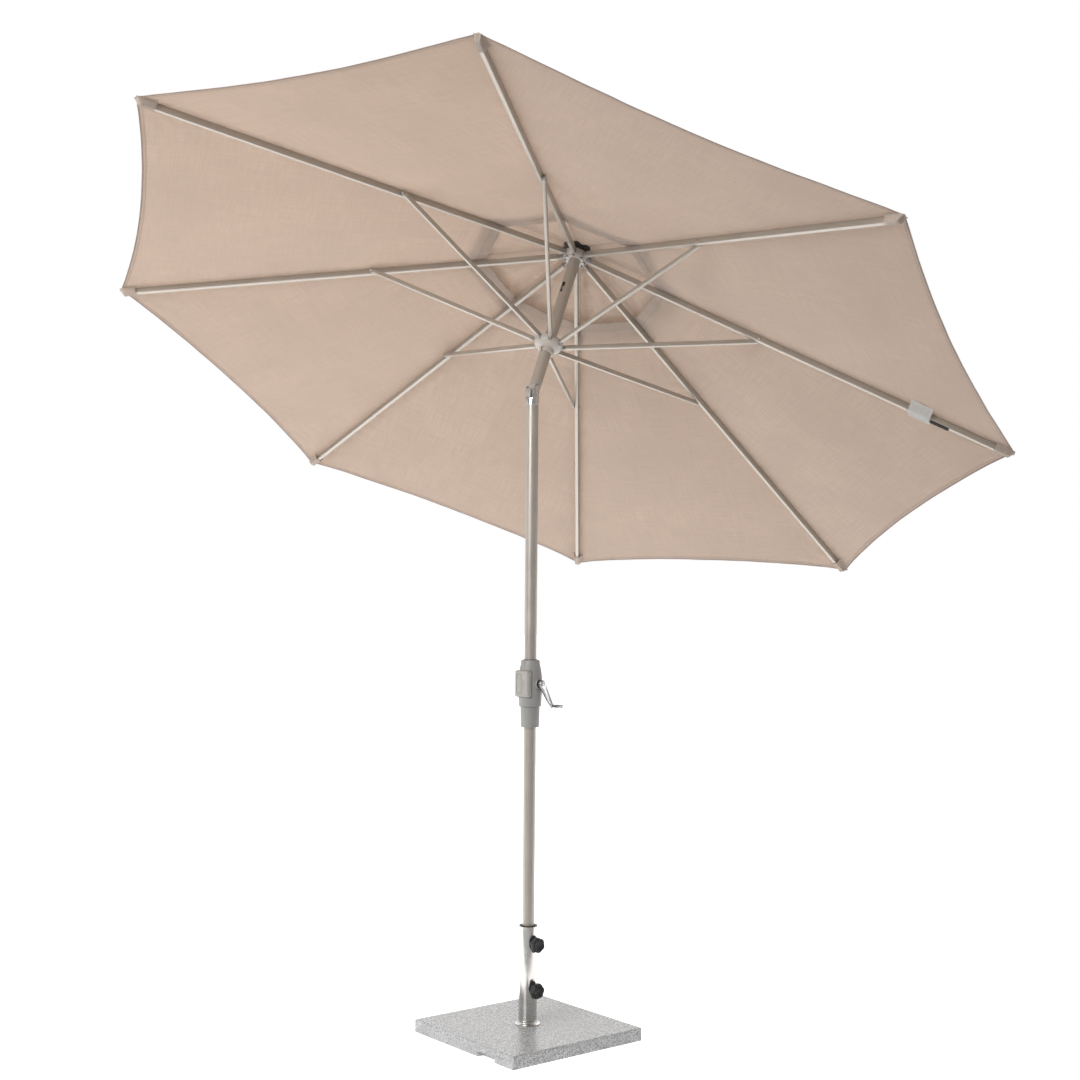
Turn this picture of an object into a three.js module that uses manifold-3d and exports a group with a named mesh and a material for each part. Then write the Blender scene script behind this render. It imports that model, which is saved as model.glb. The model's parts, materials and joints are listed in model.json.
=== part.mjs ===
// A tilting centre-pole patio umbrella on a granite slab base, in millimetres, +Z up.
// The origin is the middle of the slab's underside, on the mast's axis. The slab's sides lie along X and Y.
import * as THREE from "three";
import { mergeVertices } from "three/addons/utils/BufferGeometryUtils.js";
import Module from "manifold-3d";

const wasm = await Module();
wasm.setup();

// ---- driving dimensions ----
const GAP = 0.3; // clearance between pieces that touch
const RUN = 0.6; // clearance around a piece that turns or slides in another
const FINE = 24; // sides of a round piece
const COARSE = 12; // sides of a small round piece

// base
const SLAB_SIDE = 500;
const SLAB_THICK = 40;
const SLAB_CHAMFER = 2.5;
const FOOT_D = 32;
const FOOT_H = 10;
const FOOT_INSET = 50;
const UNDERCUT_W = 85;
const UNDERCUT_H = 16;
const UNDERCUT_DEEP = 22;
const UNDERCUT_PLACE = -120;
const SLEEVE_D = 57;
const SLEEVE_WALL = 1.8;
const SLEEVE_H = 300;
const SLOT_W = 16;
const SLOT_H = 54;
const KNOB_HEIGHTS = [108, 248]; // above the slab's top
const FLANGE_D = 80;
const FLANGE_H = 13;
const STUD_D = 16;
const ANCHOR_H = 12;
const LINER_CLEAR = 2.2; // between the liner and the mast
const LINER_RIM = 2.4;
const KNOB_D = 48;
const KNOB_THICK = 20;
const KNOB_NECK_D = 22;
const KNOB_NECK_H = 5;
const SCREW_D = 8;
const SCREW_TRAVEL = 3.75; // three turns of a 1.25 mm thread
const PAD_D = 12;
const PAD_THICK = 2.6;

// mast
const POLE_D = 38;
const POLE_WALL = 1.5;
const MAST_LIFT = 20; // of the mast's foot above the slab's top
const TILT_HEIGHT = 1990; // of the tilt pin above the slab's underside
const JOIN_HEIGHT = 975; // where the mast's two tubes meet
const JOINER_LENGTH = 180;
const HEAD_TURN = 16.5; // of the lean direction from +X, degrees
const TILT_ANGLE = 26.9; // degrees from upright
const HOUSING_TURN = -8; // of the crank housing from the lean plane, degrees

// crank housing
const CRANK_HEIGHT = 1088;
const HOUSING_TOP_D = 54;
const HOUSING_MID_D = 76;
const HOUSING_END_D = 70;
const HOUSING_ABOVE = 73;
const HOUSING_BELOW = 71;
const COLLAR_D = 60;
const COLLAR_H = 64;
const CASE_W = 60;
const CASE_H = 84;
const CASE_FACE = 41; // of the case's front from the mast's axis
const CASE_REAR = 12;
const SHAFT_D = 10;
const SPOOL_D = 16;
const SPOOL_CHEEK_D = 26.8;
const SPOOL_W = 20;
const ARM_OUT = 50; // of the arm's middle plane from the mast's axis
const ARM_THICK = 8;
const ARM_LENGTH = 84;
const ARM_SWING = 33.5; // degrees from hanging straight down
const ARM_HUB_D = 25;
const ARM_END_D = 15;
const GRIP_D = 13;
const GRIP_LENGTH = 40;

// tilt joint
const FORK_WALL = 1.8;
const FORK_BAND = 20;
const FORK_BELOW = 34; // of the band's lower edge below the pin
const FORK_ABOVE = 26;
const FORK_EAR_R = 15;
const FORK_SLOT = 25;
const PIN_D = 8;
const KNUCKLE_W = 23;
const KNUCKLE_UP = 35;
const KNUCKLE_DOWN = 14.5;
const BUTTON_W = 17;
const BUTTON_H = 30;
const BUTTON_THICK = 7;
const BUTTON_TRAVEL = 3;

// head, measured from the tilt pin along the upper pole
const CROWN_UP = 525;
const RUNNER_UP = 188;
const RIB_COUNT = 8;
const RIB_PHASE = 25.5; // of the first rib from the lean direction, degrees
const RIB_DROOP = 16.9; // degrees below square to the pole
const RIB_HINGE_R = 34;
const RIB_REACH = 1492; // hinge to the canopy's corner
const RIB_END_BACK = 24; // the tube stops short of the corner by this
const RIB_W = 12;
const RIB_H = 20;
const RIB_WALL = 1.2;
const RIB_CHAMFER = 0.7;
const RIB_START = 24;
const TONGUE_W = 8;
const TONGUE_H = 14;
const PLUG_LENGTH = 40;
const WIRE_D = 3;
const HUB_D = 84;
const HUB_H = 24;
const HUB_SLOT_IN = 8; // of a slot's inner end from the hinge
const CAP_D = 110;
const CAP_H = 16;
const CAP_BOSS_D = 52;
const CAP_BOSS_H = 14;
const CAP_SPIGOT_D = 24;
const CAP_SPIGOT = 16;
const FINIAL_D = 58;
const FINIAL_H = 92;
const PULLEY_DOWN = 127;
const PULLEY_D = 26;
const PULLEY_W = 8;
const PULLEY_PIN_D = 4;
const PULLEY_SLOT_H = 40;

// runner and struts
const STRUT_HINGE_R = 40;
const STRUT_W = 10;
const STRUT_H = 15;
const STRUT_WALL = 1.2;
const STRUT_ATTACH = 639.5; // rib hinge to the rivet, along the rib
const STRUT_PAST = 7; // of the strut's end past its rivet
const STRUT_START = 14;
const RIVET_D = 5;
const RIVET_IN = 4;
const RIVET_HOLE = 7;
const RUNNER_D = 94;
const RUNNER_DOME = 26;
const RUNNER_NECK_D = 50;
const RUNNER_NECK_H = 12;
const RUNNER_TOP = 10;

// canopy
const CLOTH = 2.5; // thickness that stands for the cloth
const CLOTH_LIFT = 2.5; // of the cloth over the ribs' tops
const HEM_CURVE = 40; // how far each edge curves in between two corners
const VENT_R = 300; // axis to the vent hole's corner, along a rib
const VENT_COVER_R = 395;
const VENT_LIFT = 22; // of the vent cover's edge over the canopy

// ---- derived places ----
const rad = THREE.MathUtils.degToRad;
const POLE_R = POLE_D / 2;
const SLAB_TOP = SLAB_THICK;
const SLEEVE_R = SLEEVE_D / 2;
const SLEEVE_IN = SLEEVE_R - SLEEVE_WALL;
const LINER_OUT = SLEEVE_IN - GAP;
const LINER_IN = POLE_R + LINER_CLEAR;
const STEP = 360 / RIB_COUNT;
const SIDE_OFFSET = (RIB_W + STRUT_W) / 2 + GAP;
const CROWN_TO_RUNNER = CROWN_UP - RUNNER_UP;

// ---- shape helpers ----
const Y = new THREE.Vector3(0, 1, 0);
const Z = new THREE.Vector3(0, 0, 1);
const alongX = new THREE.Matrix4().makeRotationY(Math.PI / 2);
const alongY = new THREE.Matrix4().makeRotationX(Math.PI / 2);

// A closed mesh as a manifold-3d solid.
function solid(geometry) {
  const bare = geometry.clone();
  bare.deleteAttribute("normal");
  bare.deleteAttribute("uv");
  const merged = mergeVertices(bare, 1e-4);
  return new wasm.Manifold(new wasm.Mesh({
    numProp: 3,
    vertProperties: merged.attributes.position.array,
    triVerts: new Uint32Array(merged.index.array),
  }));
}

// A manifold-3d solid as a geometry with flat faces.
function meshOf(body) {
  const { vertProperties, triVerts } = body.getMesh();
  const geometry = new THREE.BufferGeometry();
  geometry.setAttribute("position", new THREE.BufferAttribute(vertProperties, 3));
  geometry.setIndex(new THREE.BufferAttribute(triVerts, 1));
  const flat = geometry.toNonIndexed();
  flat.computeVertexNormals();
  return flat;
}

// The first shape with the later ones taken away.
function cut(geometry, ...tools) {
  return meshOf(tools.reduce((body, tool) => body.subtract(solid(tool)), solid(geometry)));
}

// All the shapes as one solid.
function join(geometry, ...others) {
  return meshOf(others.reduce((body, other) => body.add(solid(other)), solid(geometry)));
}

const moved = (geometry, x, y, z) => geometry.clone().translate(x, y, z);
const turnedZ = (geometry, degrees) => geometry.clone().rotateZ(rad(degrees));

// A solid of revolution about Z from a closed [radius, height] outline, listed anticlockwise.
function lathe(outline, sides = FINE) {
  const points = [...outline, outline[0]].map(([r, z]) => new THREE.Vector2(r, z));
  return new THREE.LatheGeometry(points, sides).rotateX(Math.PI / 2);
}

const tube = (outer, inner, low, high, sides = FINE) =>
  lathe([[inner, low], [outer, low], [outer, high], [inner, high]], sides);

const rod = (radius, low, high, sides = COARSE) =>
  new THREE.CylinderGeometry(radius, radius, high - low, sides)
    .rotateX(Math.PI / 2)
    .translate(0, 0, (low + high) / 2);

const block = (x0, x1, y0, y1, z0, z1) =>
  new THREE.BoxGeometry(x1 - x0, y1 - y0, z1 - z0).translate((x0 + x1) / 2, (y0 + y1) / 2, (z0 + z1) / 2);

// A rectangle with round corners, as a shape or as a hole's path.
function roundedRect(kind, width, height, radius) {
  const [w, h] = [width / 2, height / 2];
  const path = new kind();
  path.moveTo(w, -h + radius);
  path.lineTo(w, h - radius);
  path.absarc(w - radius, h - radius, radius, 0, Math.PI / 2);
  path.lineTo(-w + radius, h);
  path.absarc(-w + radius, h - radius, radius, Math.PI / 2, Math.PI);
  path.lineTo(-w, -h + radius);
  path.absarc(-w + radius, -h + radius, radius, Math.PI, 1.5 * Math.PI);
  path.lineTo(w - radius, -h);
  path.absarc(w - radius, -h + radius, radius, 1.5 * Math.PI, 2 * Math.PI);
  return path;
}

const extrude = (shape, depth, curveSegments = 1) =>
  new THREE.ExtrudeGeometry(shape, { depth, bevelEnabled: false, curveSegments });

// A rectangle with its corners cut off.
function chamferedRect(width, height, chamfer) {
  const [w, h] = [width / 2, height / 2];
  return new THREE.Shape([[w, chamfer - h], [w, h - chamfer], [w - chamfer, h], [chamfer - w, h], [-w, h - chamfer],
    [-w, chamfer - h], [chamfer - w, -h], [w - chamfer, -h]].map(([x, y]) => new THREE.Vector2(x, y)));
}

// A rectangular bar along X, hollow where a wall is given. Width is along Y, height along Z.
function bar(width, height, chamfer, x0, x1, wall = 0) {
  const shape = chamferedRect(height, width, chamfer);
  const [w, h] = [height / 2 - wall, width / 2 - wall];
  const corners = [[w, h], [-w, h], [-w, -h], [w, -h]].map((p) => new THREE.Vector2(...p));
  if (wall) shape.holes.push(new THREE.Path(corners));
  return extrude(shape, x1 - x0).applyMatrix4(alongX).translate(x0, 0, 0);
}

// An obround slot's cutter: long along Z, pointing along -Y, from y0 to y1.
function slotCutter(width, height, y0, y1) {
  return extrude(roundedRect(THREE.Shape, width, height, width / 2 - 0.01), y1 - y0, 2)
    .applyMatrix4(alongY).translate(0, y1, 0);
}

// ---- finishes ----
const finish = (color, roughness, metalness) => new THREE.MeshStandardMaterial({ color, roughness, metalness });
const granite = finish(0xb9b9b8, 0.6, 0);
const rubber = finish(0x1d1e1f, 0.85, 0);
const stainless = finish(0xc8c6c2, 0.25, 1);
const blackPlastic = finish(0x2b2d30, 0.55, 0);
const steel = finish(0x9a9a98, 0.35, 1);
const frameMetal = finish(0xb5aa98, 0.38, 0.55);
const greyPlastic = finish(0x8f8f8a, 0.5, 0);
const beigePlastic = finish(0xb9b0a5, 0.5, 0);
const palePlastic = finish(0xc4c2ba, 0.5, 0);
const darkPlastic = finish(0x4a4843, 0.6, 0);
const chrome = finish(0xe2e2e4, 0.12, 1);
const cloth = finish(0xc9b6a2, 0.9, 0);

const umbrella = new THREE.Group();
umbrella.name = "patio_umbrella";

function piece(parent, name, geometry, material) {
  const mesh = new THREE.Mesh(geometry, material);
  mesh.name = name;
  parent.add(mesh);
  return mesh;
}

function group(parent, { at = [0, 0, 0], turn = 0, tilt = 0 } = {}) {
  const made = new THREE.Group();
  made.position.set(...at);
  made.quaternion.setFromAxisAngle(Z, rad(turn))
    .multiply(new THREE.Quaternion().setFromAxisAngle(Y, rad(tilt)));
  parent.add(made);
  return made;
}

// ---- base ----
function slab() {
  const shape = roundedRect(THREE.Shape, SLAB_SIDE - 2 * SLAB_CHAMFER, SLAB_SIDE - 2 * SLAB_CHAMFER, 1);
  const body = new THREE.ExtrudeGeometry(shape, {
    depth: SLAB_THICK - 2 * SLAB_CHAMFER,
    bevelThickness: SLAB_CHAMFER,
    bevelSize: SLAB_CHAMFER,
    bevelSegments: 1,
    curveSegments: 1,
  }).translate(0, 0, SLAB_CHAMFER);
  const half = SLAB_SIDE / 2;
  const undercut = block(-half - 1, UNDERCUT_DEEP - half, UNDERCUT_PLACE - UNDERCUT_W / 2,
    UNDERCUT_PLACE + UNDERCUT_W / 2, -1, UNDERCUT_H);
  const studHole = rod(STUD_D / 2 + GAP, -1, SLAB_TOP + 1);
  return cut(body, undercut, studHole);
}

function buildBase(parent) {
  piece(parent, "granite_slab", slab(), granite);
  const corner = SLAB_SIDE / 2 - FOOT_INSET;
  const foot = lathe([[0, -FOOT_H], [FOOT_D / 2 - 3, -FOOT_H], [FOOT_D / 2, 3 - FOOT_H],
    [FOOT_D / 2, -GAP], [0, -GAP]], COARSE);
  [[-1, -1], [1, -1], [1, 1], [-1, 1]].forEach(([sx, sy], i) => {
    piece(parent, `base_foot_${i + 1}`, foot, rubber).position.set(sx * corner, sy * corner, 0);
  });

  const onSlab = group(parent, { at: [0, 0, SLAB_TOP] });
  const slots = KNOB_HEIGHTS.map((z) => moved(slotCutter(SLOT_W, SLOT_H, -SLEEVE_D, 0), 0, 0, z));
  piece(onSlab, "base_sleeve", cut(tube(SLEEVE_R, SLEEVE_IN, GAP, SLEEVE_H), ...slots), stainless);
  const flangeIn = SLEEVE_R + GAP;
  piece(onSlab, "sleeve_flange", lathe([[flangeIn, GAP], [FLANGE_D / 2, GAP], [FLANGE_D / 2, 3],
    [FLANGE_D / 2 - 5, 5], [flangeIn + 3, 8], [flangeIn + 1.2, FLANGE_H], [flangeIn, FLANGE_H]]), stainless);
  piece(onSlab, "sleeve_anchor", lathe([[0, -SLAB_THICK], [STUD_D / 2, -SLAB_THICK], [STUD_D / 2, GAP],
    [SLEEVE_IN - GAP, GAP], [SLEEVE_IN - GAP, ANCHOR_H], [0, ANCHOR_H]]), steel);
  piece(onSlab, "sleeve_liner", liner(), blackPlastic);

  KNOB_HEIGHTS.forEach((z, i) => {
    const place = ["lower", "upper"][i];
    const at = group(onSlab, { at: [0, 0, z] });
    piece(at, `clamp_pad_${place}`, pad(), blackPlastic);
    piece(at, `clamp_screw_${place}`, screw(), steel);
    piece(at, `clamp_knob_${place}`, knob(i * 30), blackPlastic);
  });
}

// Radial places of the clamp, along -Y from the mast's axis.
const PAD_FACE = POLE_R + GAP;
const SCREW_TIP = PAD_FACE + PAD_THICK + GAP;
const POCKET_END = PAD_FACE + PAD_THICK + SCREW_TRAVEL + GAP;
const BOSS_FACE = POCKET_END + 4;
const NECK_FACE = BOSS_FACE + SCREW_TRAVEL - 2;
const outAlongMinusY = (geometry) => geometry.rotateX(Math.PI / 2);

function liner() {
  const low = ANCHOR_H + GAP;
  const top = SLEEVE_H + GAP;
  const shell = lathe([[LINER_IN, low], [LINER_OUT, low], [LINER_OUT, top], [SLEEVE_R, top],
    [SLEEVE_R, top + LINER_RIM], [LINER_IN, top + LINER_RIM]]);
  const bosses = KNOB_HEIGHTS.map((z) =>
    moved(slotCutter(SLOT_W - 2 * GAP, SLOT_H - 2 * GAP, -BOSS_FACE, -LINER_IN - 1), 0, 0, z));
  const holes = KNOB_HEIGHTS.flatMap((z) => [
    moved(outAlongMinusY(rod(PAD_D / 2 + GAP, 0, POCKET_END)), 0, 0, z),
    moved(outAlongMinusY(rod(SCREW_D / 2 + GAP, 0, BOSS_FACE + 1)), 0, 0, z),
  ]);
  return cut(join(shell, ...bosses), ...holes);
}

const pad = () => outAlongMinusY(rod(PAD_D / 2, PAD_FACE, PAD_FACE + PAD_THICK));

const screw = () => outAlongMinusY(rod(SCREW_D / 2, SCREW_TIP, NECK_FACE + KNOB_NECK_H + KNOB_THICK / 2));

// A six-lobed hand knob with a dished face, over the screw's head.
function knob(turn) {
  const outline = new THREE.Shape();
  const lobes = 6;
  for (let i = 0; i <= lobes * 4; i++) {
    const a = (i / (lobes * 4)) * 2 * Math.PI;
    const r = KNOB_D / 2 - 1.6 * (1 - Math.cos(lobes * a)) / 2 - 1.2;
    if (i === 0) outline.moveTo(r, 0);
    else if (i < lobes * 4) outline.lineTo(r * Math.cos(a), r * Math.sin(a));
  }
  const bevel = 2;
  const head = new THREE.ExtrudeGeometry(outline, {
    depth: KNOB_THICK - 2 * bevel,
    bevelThickness: bevel,
    bevelSize: bevel - 0.8,
    bevelSegments: 1,
  }).translate(0, 0, bevel + KNOB_NECK_H);
  const neck = rod(KNOB_NECK_D / 2, 0, KNOB_NECK_H + 3);
  const dish = new THREE.SphereGeometry(22, COARSE, 10).translate(0, 0, KNOB_NECK_H + KNOB_THICK + 19.5);
  const bore = rod(SCREW_D / 2 + GAP, -1, KNOB_NECK_H + KNOB_THICK / 2 + GAP);
  const body = cut(join(head, neck), dish, bore);
  return outAlongMinusY(turnedZ(body, turn).translate(0, 0, NECK_FACE));
}

// ---- mast ----
function buildMast(parent) {
  const mast = group(parent, { turn: HEAD_TURN });
  const inner = POLE_R - POLE_WALL;
  const poleTop = TILT_HEIGHT - KNUCKLE_DOWN - GAP - 2;
  piece(mast, "lower_pole", tube(POLE_R, inner, SLAB_TOP + MAST_LIFT, JOIN_HEIGHT - GAP), frameMetal);
  const crankway = turnedZ(outAlongMinusY(rod(SHAFT_D / 2 + RUN, -POLE_D, POLE_D)), HOUSING_TURN)
    .translate(0, 0, CRANK_HEIGHT);
  piece(mast, "middle_pole", cut(tube(POLE_R, inner, JOIN_HEIGHT, poleTop), crankway), frameMetal);
  piece(mast, "pole_joiner", tube(inner - GAP, inner - GAP - 2, JOIN_HEIGHT - JOINER_LENGTH,
    JOIN_HEIGHT + JOINER_LENGTH / 3), frameMetal);
  buildWinch(group(mast, { at: [0, 0, CRANK_HEIGHT], turn: HOUSING_TURN }));
  buildTilt(group(mast, { at: [0, 0, TILT_HEIGHT] }));
  buildHead(group(mast, { at: [0, 0, TILT_HEIGHT], tilt: TILT_ANGLE }));
}

// The winch is built about the crank's axis, which points along -Y.
function buildWinch(parent) {
  const bore = POLE_R + GAP;
  const shaftway = outAlongMinusY(rod(SHAFT_D / 2 + RUN, -POLE_D, 2 * HOUSING_MID_D));
  const [top, mid, end] = [HOUSING_TOP_D / 2, HOUSING_MID_D / 2, HOUSING_END_D / 2];
  const barrel = lathe([[bore, -HOUSING_BELOW], [end - 2, -HOUSING_BELOW], [end, 2 - HOUSING_BELOW],
    [mid - 0.5, -25], [mid, 0], [mid - 1.5, 20], [mid - 5, 42], [top + 1, HOUSING_ABOVE - 3],
    [top - 1.5, HOUSING_ABOVE], [bore, HOUSING_ABOVE]]);
  const boss = outAlongMinusY(rod(15, POLE_R + 6, HOUSING_MID_D / 2 + 3));
  const half = CASE_W / 2;
  const tall = CASE_H / 2 + GAP;
  const seat = block(-CASE_FACE - 1, -CASE_REAR + GAP, -half - GAP, half + GAP, -tall, tall);
  const core = tube(POLE_R + 4, bore, -HOUSING_BELOW, HOUSING_ABOVE);
  const shell = cut(join(cut(join(barrel, boss), seat), core), shaftway);
  piece(parent, "crank_housing", shell, greyPlastic);
  const collarTop = -HOUSING_BELOW - GAP;
  const collarLow = -HOUSING_BELOW - COLLAR_H;
  const collarR = COLLAR_D / 2;
  piece(parent, "housing_collar", lathe([[bore, collarLow], [collarR - 3, collarLow],
    [collarR - 1, 3 + collarLow], [collarR, collarTop], [bore, collarTop]]), greyPlastic);
  piece(parent, "housing_cover", housingCover(), beigePlastic);

  piece(parent, "crank_shaft", crankShaft(), steel);
  const arm = group(parent, { at: [0, -ARM_OUT, 0] });
  arm.quaternion.setFromAxisAngle(Y, rad(-ARM_SWING));
  piece(arm, "crank_arm", crankArm(), chrome);
  piece(arm, "crank_grip", crankGrip(), chrome);
}

// The case over the spool's window: a rounded box with an oval recess, cut round the mast.
function housingCover() {
  const box = extrude(roundedRect(THREE.Shape, CASE_H, CASE_W, 4), CASE_FACE - CASE_REAR, 4)
    .applyMatrix4(alongX).rotateZ(Math.PI).translate(-CASE_REAR, 0, 0);
  const recess = extrude(roundedRect(THREE.Shape, CASE_H * 0.74, CASE_W * 0.36, CASE_W * 0.18 - 0.01), 4, 8)
    .applyMatrix4(alongX).translate(-CASE_FACE - 2.4, 0, 0);
  const mastway = rod(POLE_R + 4 + GAP, -CASE_H, CASE_H, FINE);
  return cut(box, recess, mastway);
}

function crankShaft() {
  const shaft = rod(SHAFT_D / 2, 3 - SPOOL_W / 2 - 5, ARM_OUT - ARM_THICK / 2 - GAP);
  const cheeks = [-SPOOL_W / 2, SPOOL_W / 2 - 2].map((z) => rod(SPOOL_CHEEK_D / 2, z, z + 2));
  const drum = rod(SPOOL_D / 2, -SPOOL_W / 2, SPOOL_W / 2);
  return outAlongMinusY(join(shaft, drum, ...cheeks));
}

// The arm hangs along -Z from its hub, flat across Y.
function crankArm() {
  const shape = new THREE.Shape();
  const [r, e] = [ARM_HUB_D / 2, ARM_END_D / 2];
  const lean = Math.asin((r - e) / ARM_LENGTH);
  shape.absarc(0, 0, r, -lean, Math.PI + lean);
  shape.absarc(0, -ARM_LENGTH, e, Math.PI + lean, 2 * Math.PI - lean);
  shape.closePath();
  return extrude(shape, ARM_THICK, 12).applyMatrix4(alongY).translate(0, ARM_THICK / 2, 0);
}

function crankGrip() {
  const start = ARM_THICK / 2 + GAP;
  const r = GRIP_D / 2;
  const grip = lathe([[0, start], [r - 1, start], [r, start + 1], [r, start + GRIP_LENGTH - 1.5],
    [r - 1.5, start + GRIP_LENGTH], [0, start + GRIP_LENGTH]], COARSE);
  return outAlongMinusY(grip).translate(0, 0, -ARM_LENGTH);
}

// ---- tilt joint: the pin lies along Y, and the head leans towards +X ----
const FORK_IN = POLE_R + GAP;
const FORK_OUT = FORK_IN + FORK_WALL;

function buildTilt(parent) {
  const body = tube(FORK_OUT, FORK_IN, -FORK_BELOW, FORK_ABOVE);
  const slotFloor = FORK_BAND - FORK_BELOW;
  const slot = block(-POLE_D, POLE_D, -FORK_SLOT / 2, FORK_SLOT / 2, slotFloor, FORK_ABOVE + 1);
  const earCentre = FORK_ABOVE - FORK_EAR_R;
  const earRod = rod(FORK_EAR_R, -2 * POLE_D, 2 * POLE_D, FINE);
  const earRound = outAlongMinusY(earRod).translate(0, 0, earCentre);
  const trim = cut(block(-POLE_D, POLE_D, -POLE_D, POLE_D, earCentre, FORK_ABOVE + 1), earRound);
  const pinHole = outAlongMinusY(rod(PIN_D / 2 + GAP, -POLE_D, POLE_D));
  piece(parent, "tilt_fork", cut(body, slot, trim, pinHole), chrome);
  const pinEnd = FORK_OUT + 1.5;
  piece(parent, "tilt_pin", outAlongMinusY(rod(PIN_D / 2, -pinEnd, pinEnd)), steel);
  piece(parent, "tilt_button", tiltButton(), beigePlastic);
}

// The release slides in between the fork's ears, on the side away from the lean.
function tiltButton() {
  const low = FORK_BAND - FORK_BELOW + 2 * GAP;
  const back = -FORK_OUT - BUTTON_TRAVEL - 1;
  return extrude(roundedRect(THREE.Shape, BUTTON_H, BUTTON_W, 2.5), BUTTON_THICK, 4)
    .applyMatrix4(alongX).translate(back, 0, low + BUTTON_H / 2);
}

// ---- head: built square to the upper pole, from the tilt pin upwards ----
function buildHead(parent) {
  piece(parent, "tilt_knuckle", knuckle(), beigePlastic);
  piece(parent, "upper_pole", upperPole(), frameMetal);
  const pulley = outAlongMinusY(lathe([[PULLEY_PIN_D / 2 + GAP, -PULLEY_W / 2], [PULLEY_D / 2, -PULLEY_W / 2],
    [PULLEY_D / 2 - 3, 0], [PULLEY_D / 2, PULLEY_W / 2], [PULLEY_PIN_D / 2 + GAP, PULLEY_W / 2]], COARSE));
  const sheave = group(parent, { at: [PULLEY_SHIFT, 0, CROWN_UP - PULLEY_DOWN] });
  piece(sheave, "cord_pulley", pulley, blackPlastic);
  piece(sheave, "pulley_pin", outAlongMinusY(rod(PULLEY_PIN_D / 2, -POLE_R, POLE_R, 12)), steel);
  buildCrown(group(parent, { at: [0, 0, CROWN_UP] }));
  buildRunner(group(parent, { at: [0, 0, RUNNER_UP] }));
}

const PULLEY_SHIFT = -6;

// The plug that carries the upper pole and turns on the pin: round above, flat-sided between the ears.
function knuckle() {
  const inner = POLE_R - POLE_WALL - GAP;
  const shank = lathe([[0, -KNUCKLE_DOWN], [POLE_R - 1, -KNUCKLE_DOWN], [POLE_R - 1, KNUCKLE_UP - GAP],
    [inner, KNUCKLE_UP - GAP], [inner, KNUCKLE_UP + 25], [0, KNUCKLE_UP + 25]]);
  const cheeks = [-1, 1].map((side) => side > 0
    ? block(-POLE_D, POLE_D, KNUCKLE_W / 2, POLE_D, -POLE_D, KNUCKLE_SHOULDER)
    : block(-POLE_D, POLE_D, -POLE_D, -KNUCKLE_W / 2, -POLE_D, KNUCKLE_SHOULDER));
  const sweep = outAlongMinusY(rod(KNUCKLE_DOWN, -POLE_D, POLE_D, FINE));
  const above = block(-POLE_D, POLE_D, -POLE_D, POLE_D, 0, 2 * KNUCKLE_UP);
  const rounded = meshOf(solid(shank).intersect(solid(join(sweep, above))));
  const pinHole = outAlongMinusY(rod(PIN_D / 2 + GAP, -POLE_D, POLE_D));
  const latch = block(-POLE_D, LATCH_IN, -POLE_D, POLE_D, -POLE_D, LATCH_TOP);
  return cut(rounded, ...cheeks, pinHole, latch);
}

const KNUCKLE_SHOULDER = FORK_ABOVE + 4;
const LATCH_IN = -13;
const LATCH_TOP = 26;

function upperPole() {
  const inner = POLE_R - POLE_WALL;
  const body = tube(POLE_R, inner, KNUCKLE_UP, CROWN_UP + HUB_H / 2);
  const slot = slotCutter(PULLEY_W + 3, PULLEY_SLOT_H, 0, POLE_D).rotateZ(Math.PI / 2)
    .translate(0, 0, CROWN_UP - PULLEY_DOWN);
  const pinHole = outAlongMinusY(rod(PULLEY_PIN_D / 2 + GAP, -POLE_D, POLE_D, 12))
    .translate(PULLEY_SHIFT, 0, CROWN_UP - PULLEY_DOWN);
  return cut(body, slot, pinHole);
}

// An eight-sided ring from an outline listed anticlockwise, with the middle of a side square to each rib.
// Radii are at the middles of the sides.
function ribRing(outline) {
  const cornerShare = Math.cos(rad(STEP / 2));
  const ring = lathe(outline.map(([r, z]) => [r / cornerShare, z]), RIB_COUNT);
  return turnedZ(ring, RIB_PHASE + STEP / 2 - RING_START);
}

const RING_START = 90; // a lathe's first corner lies on Y

// A hinge wire bent into a ring, and the channel that it lies in.
function hingeWire(radius) {
  const outline = [];
  for (let i = 0; i < 8; i++) {
    const a = (i / 8) * 2 * Math.PI;
    outline.push([radius + (WIRE_D / 2) * Math.cos(a), (WIRE_D / 2) * Math.sin(a)]);
  }
  return ribRing(outline);
}

function wireChannel(radius, low, high) {
  const half = WIRE_D / 2 + GAP;
  return ribRing([[radius - half, low], [radius + half, low], [radius + half, high], [radius - half, high]]);
}

const atRib = (geometry, i) => turnedZ(geometry, RIB_PHASE + i * STEP);

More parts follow.
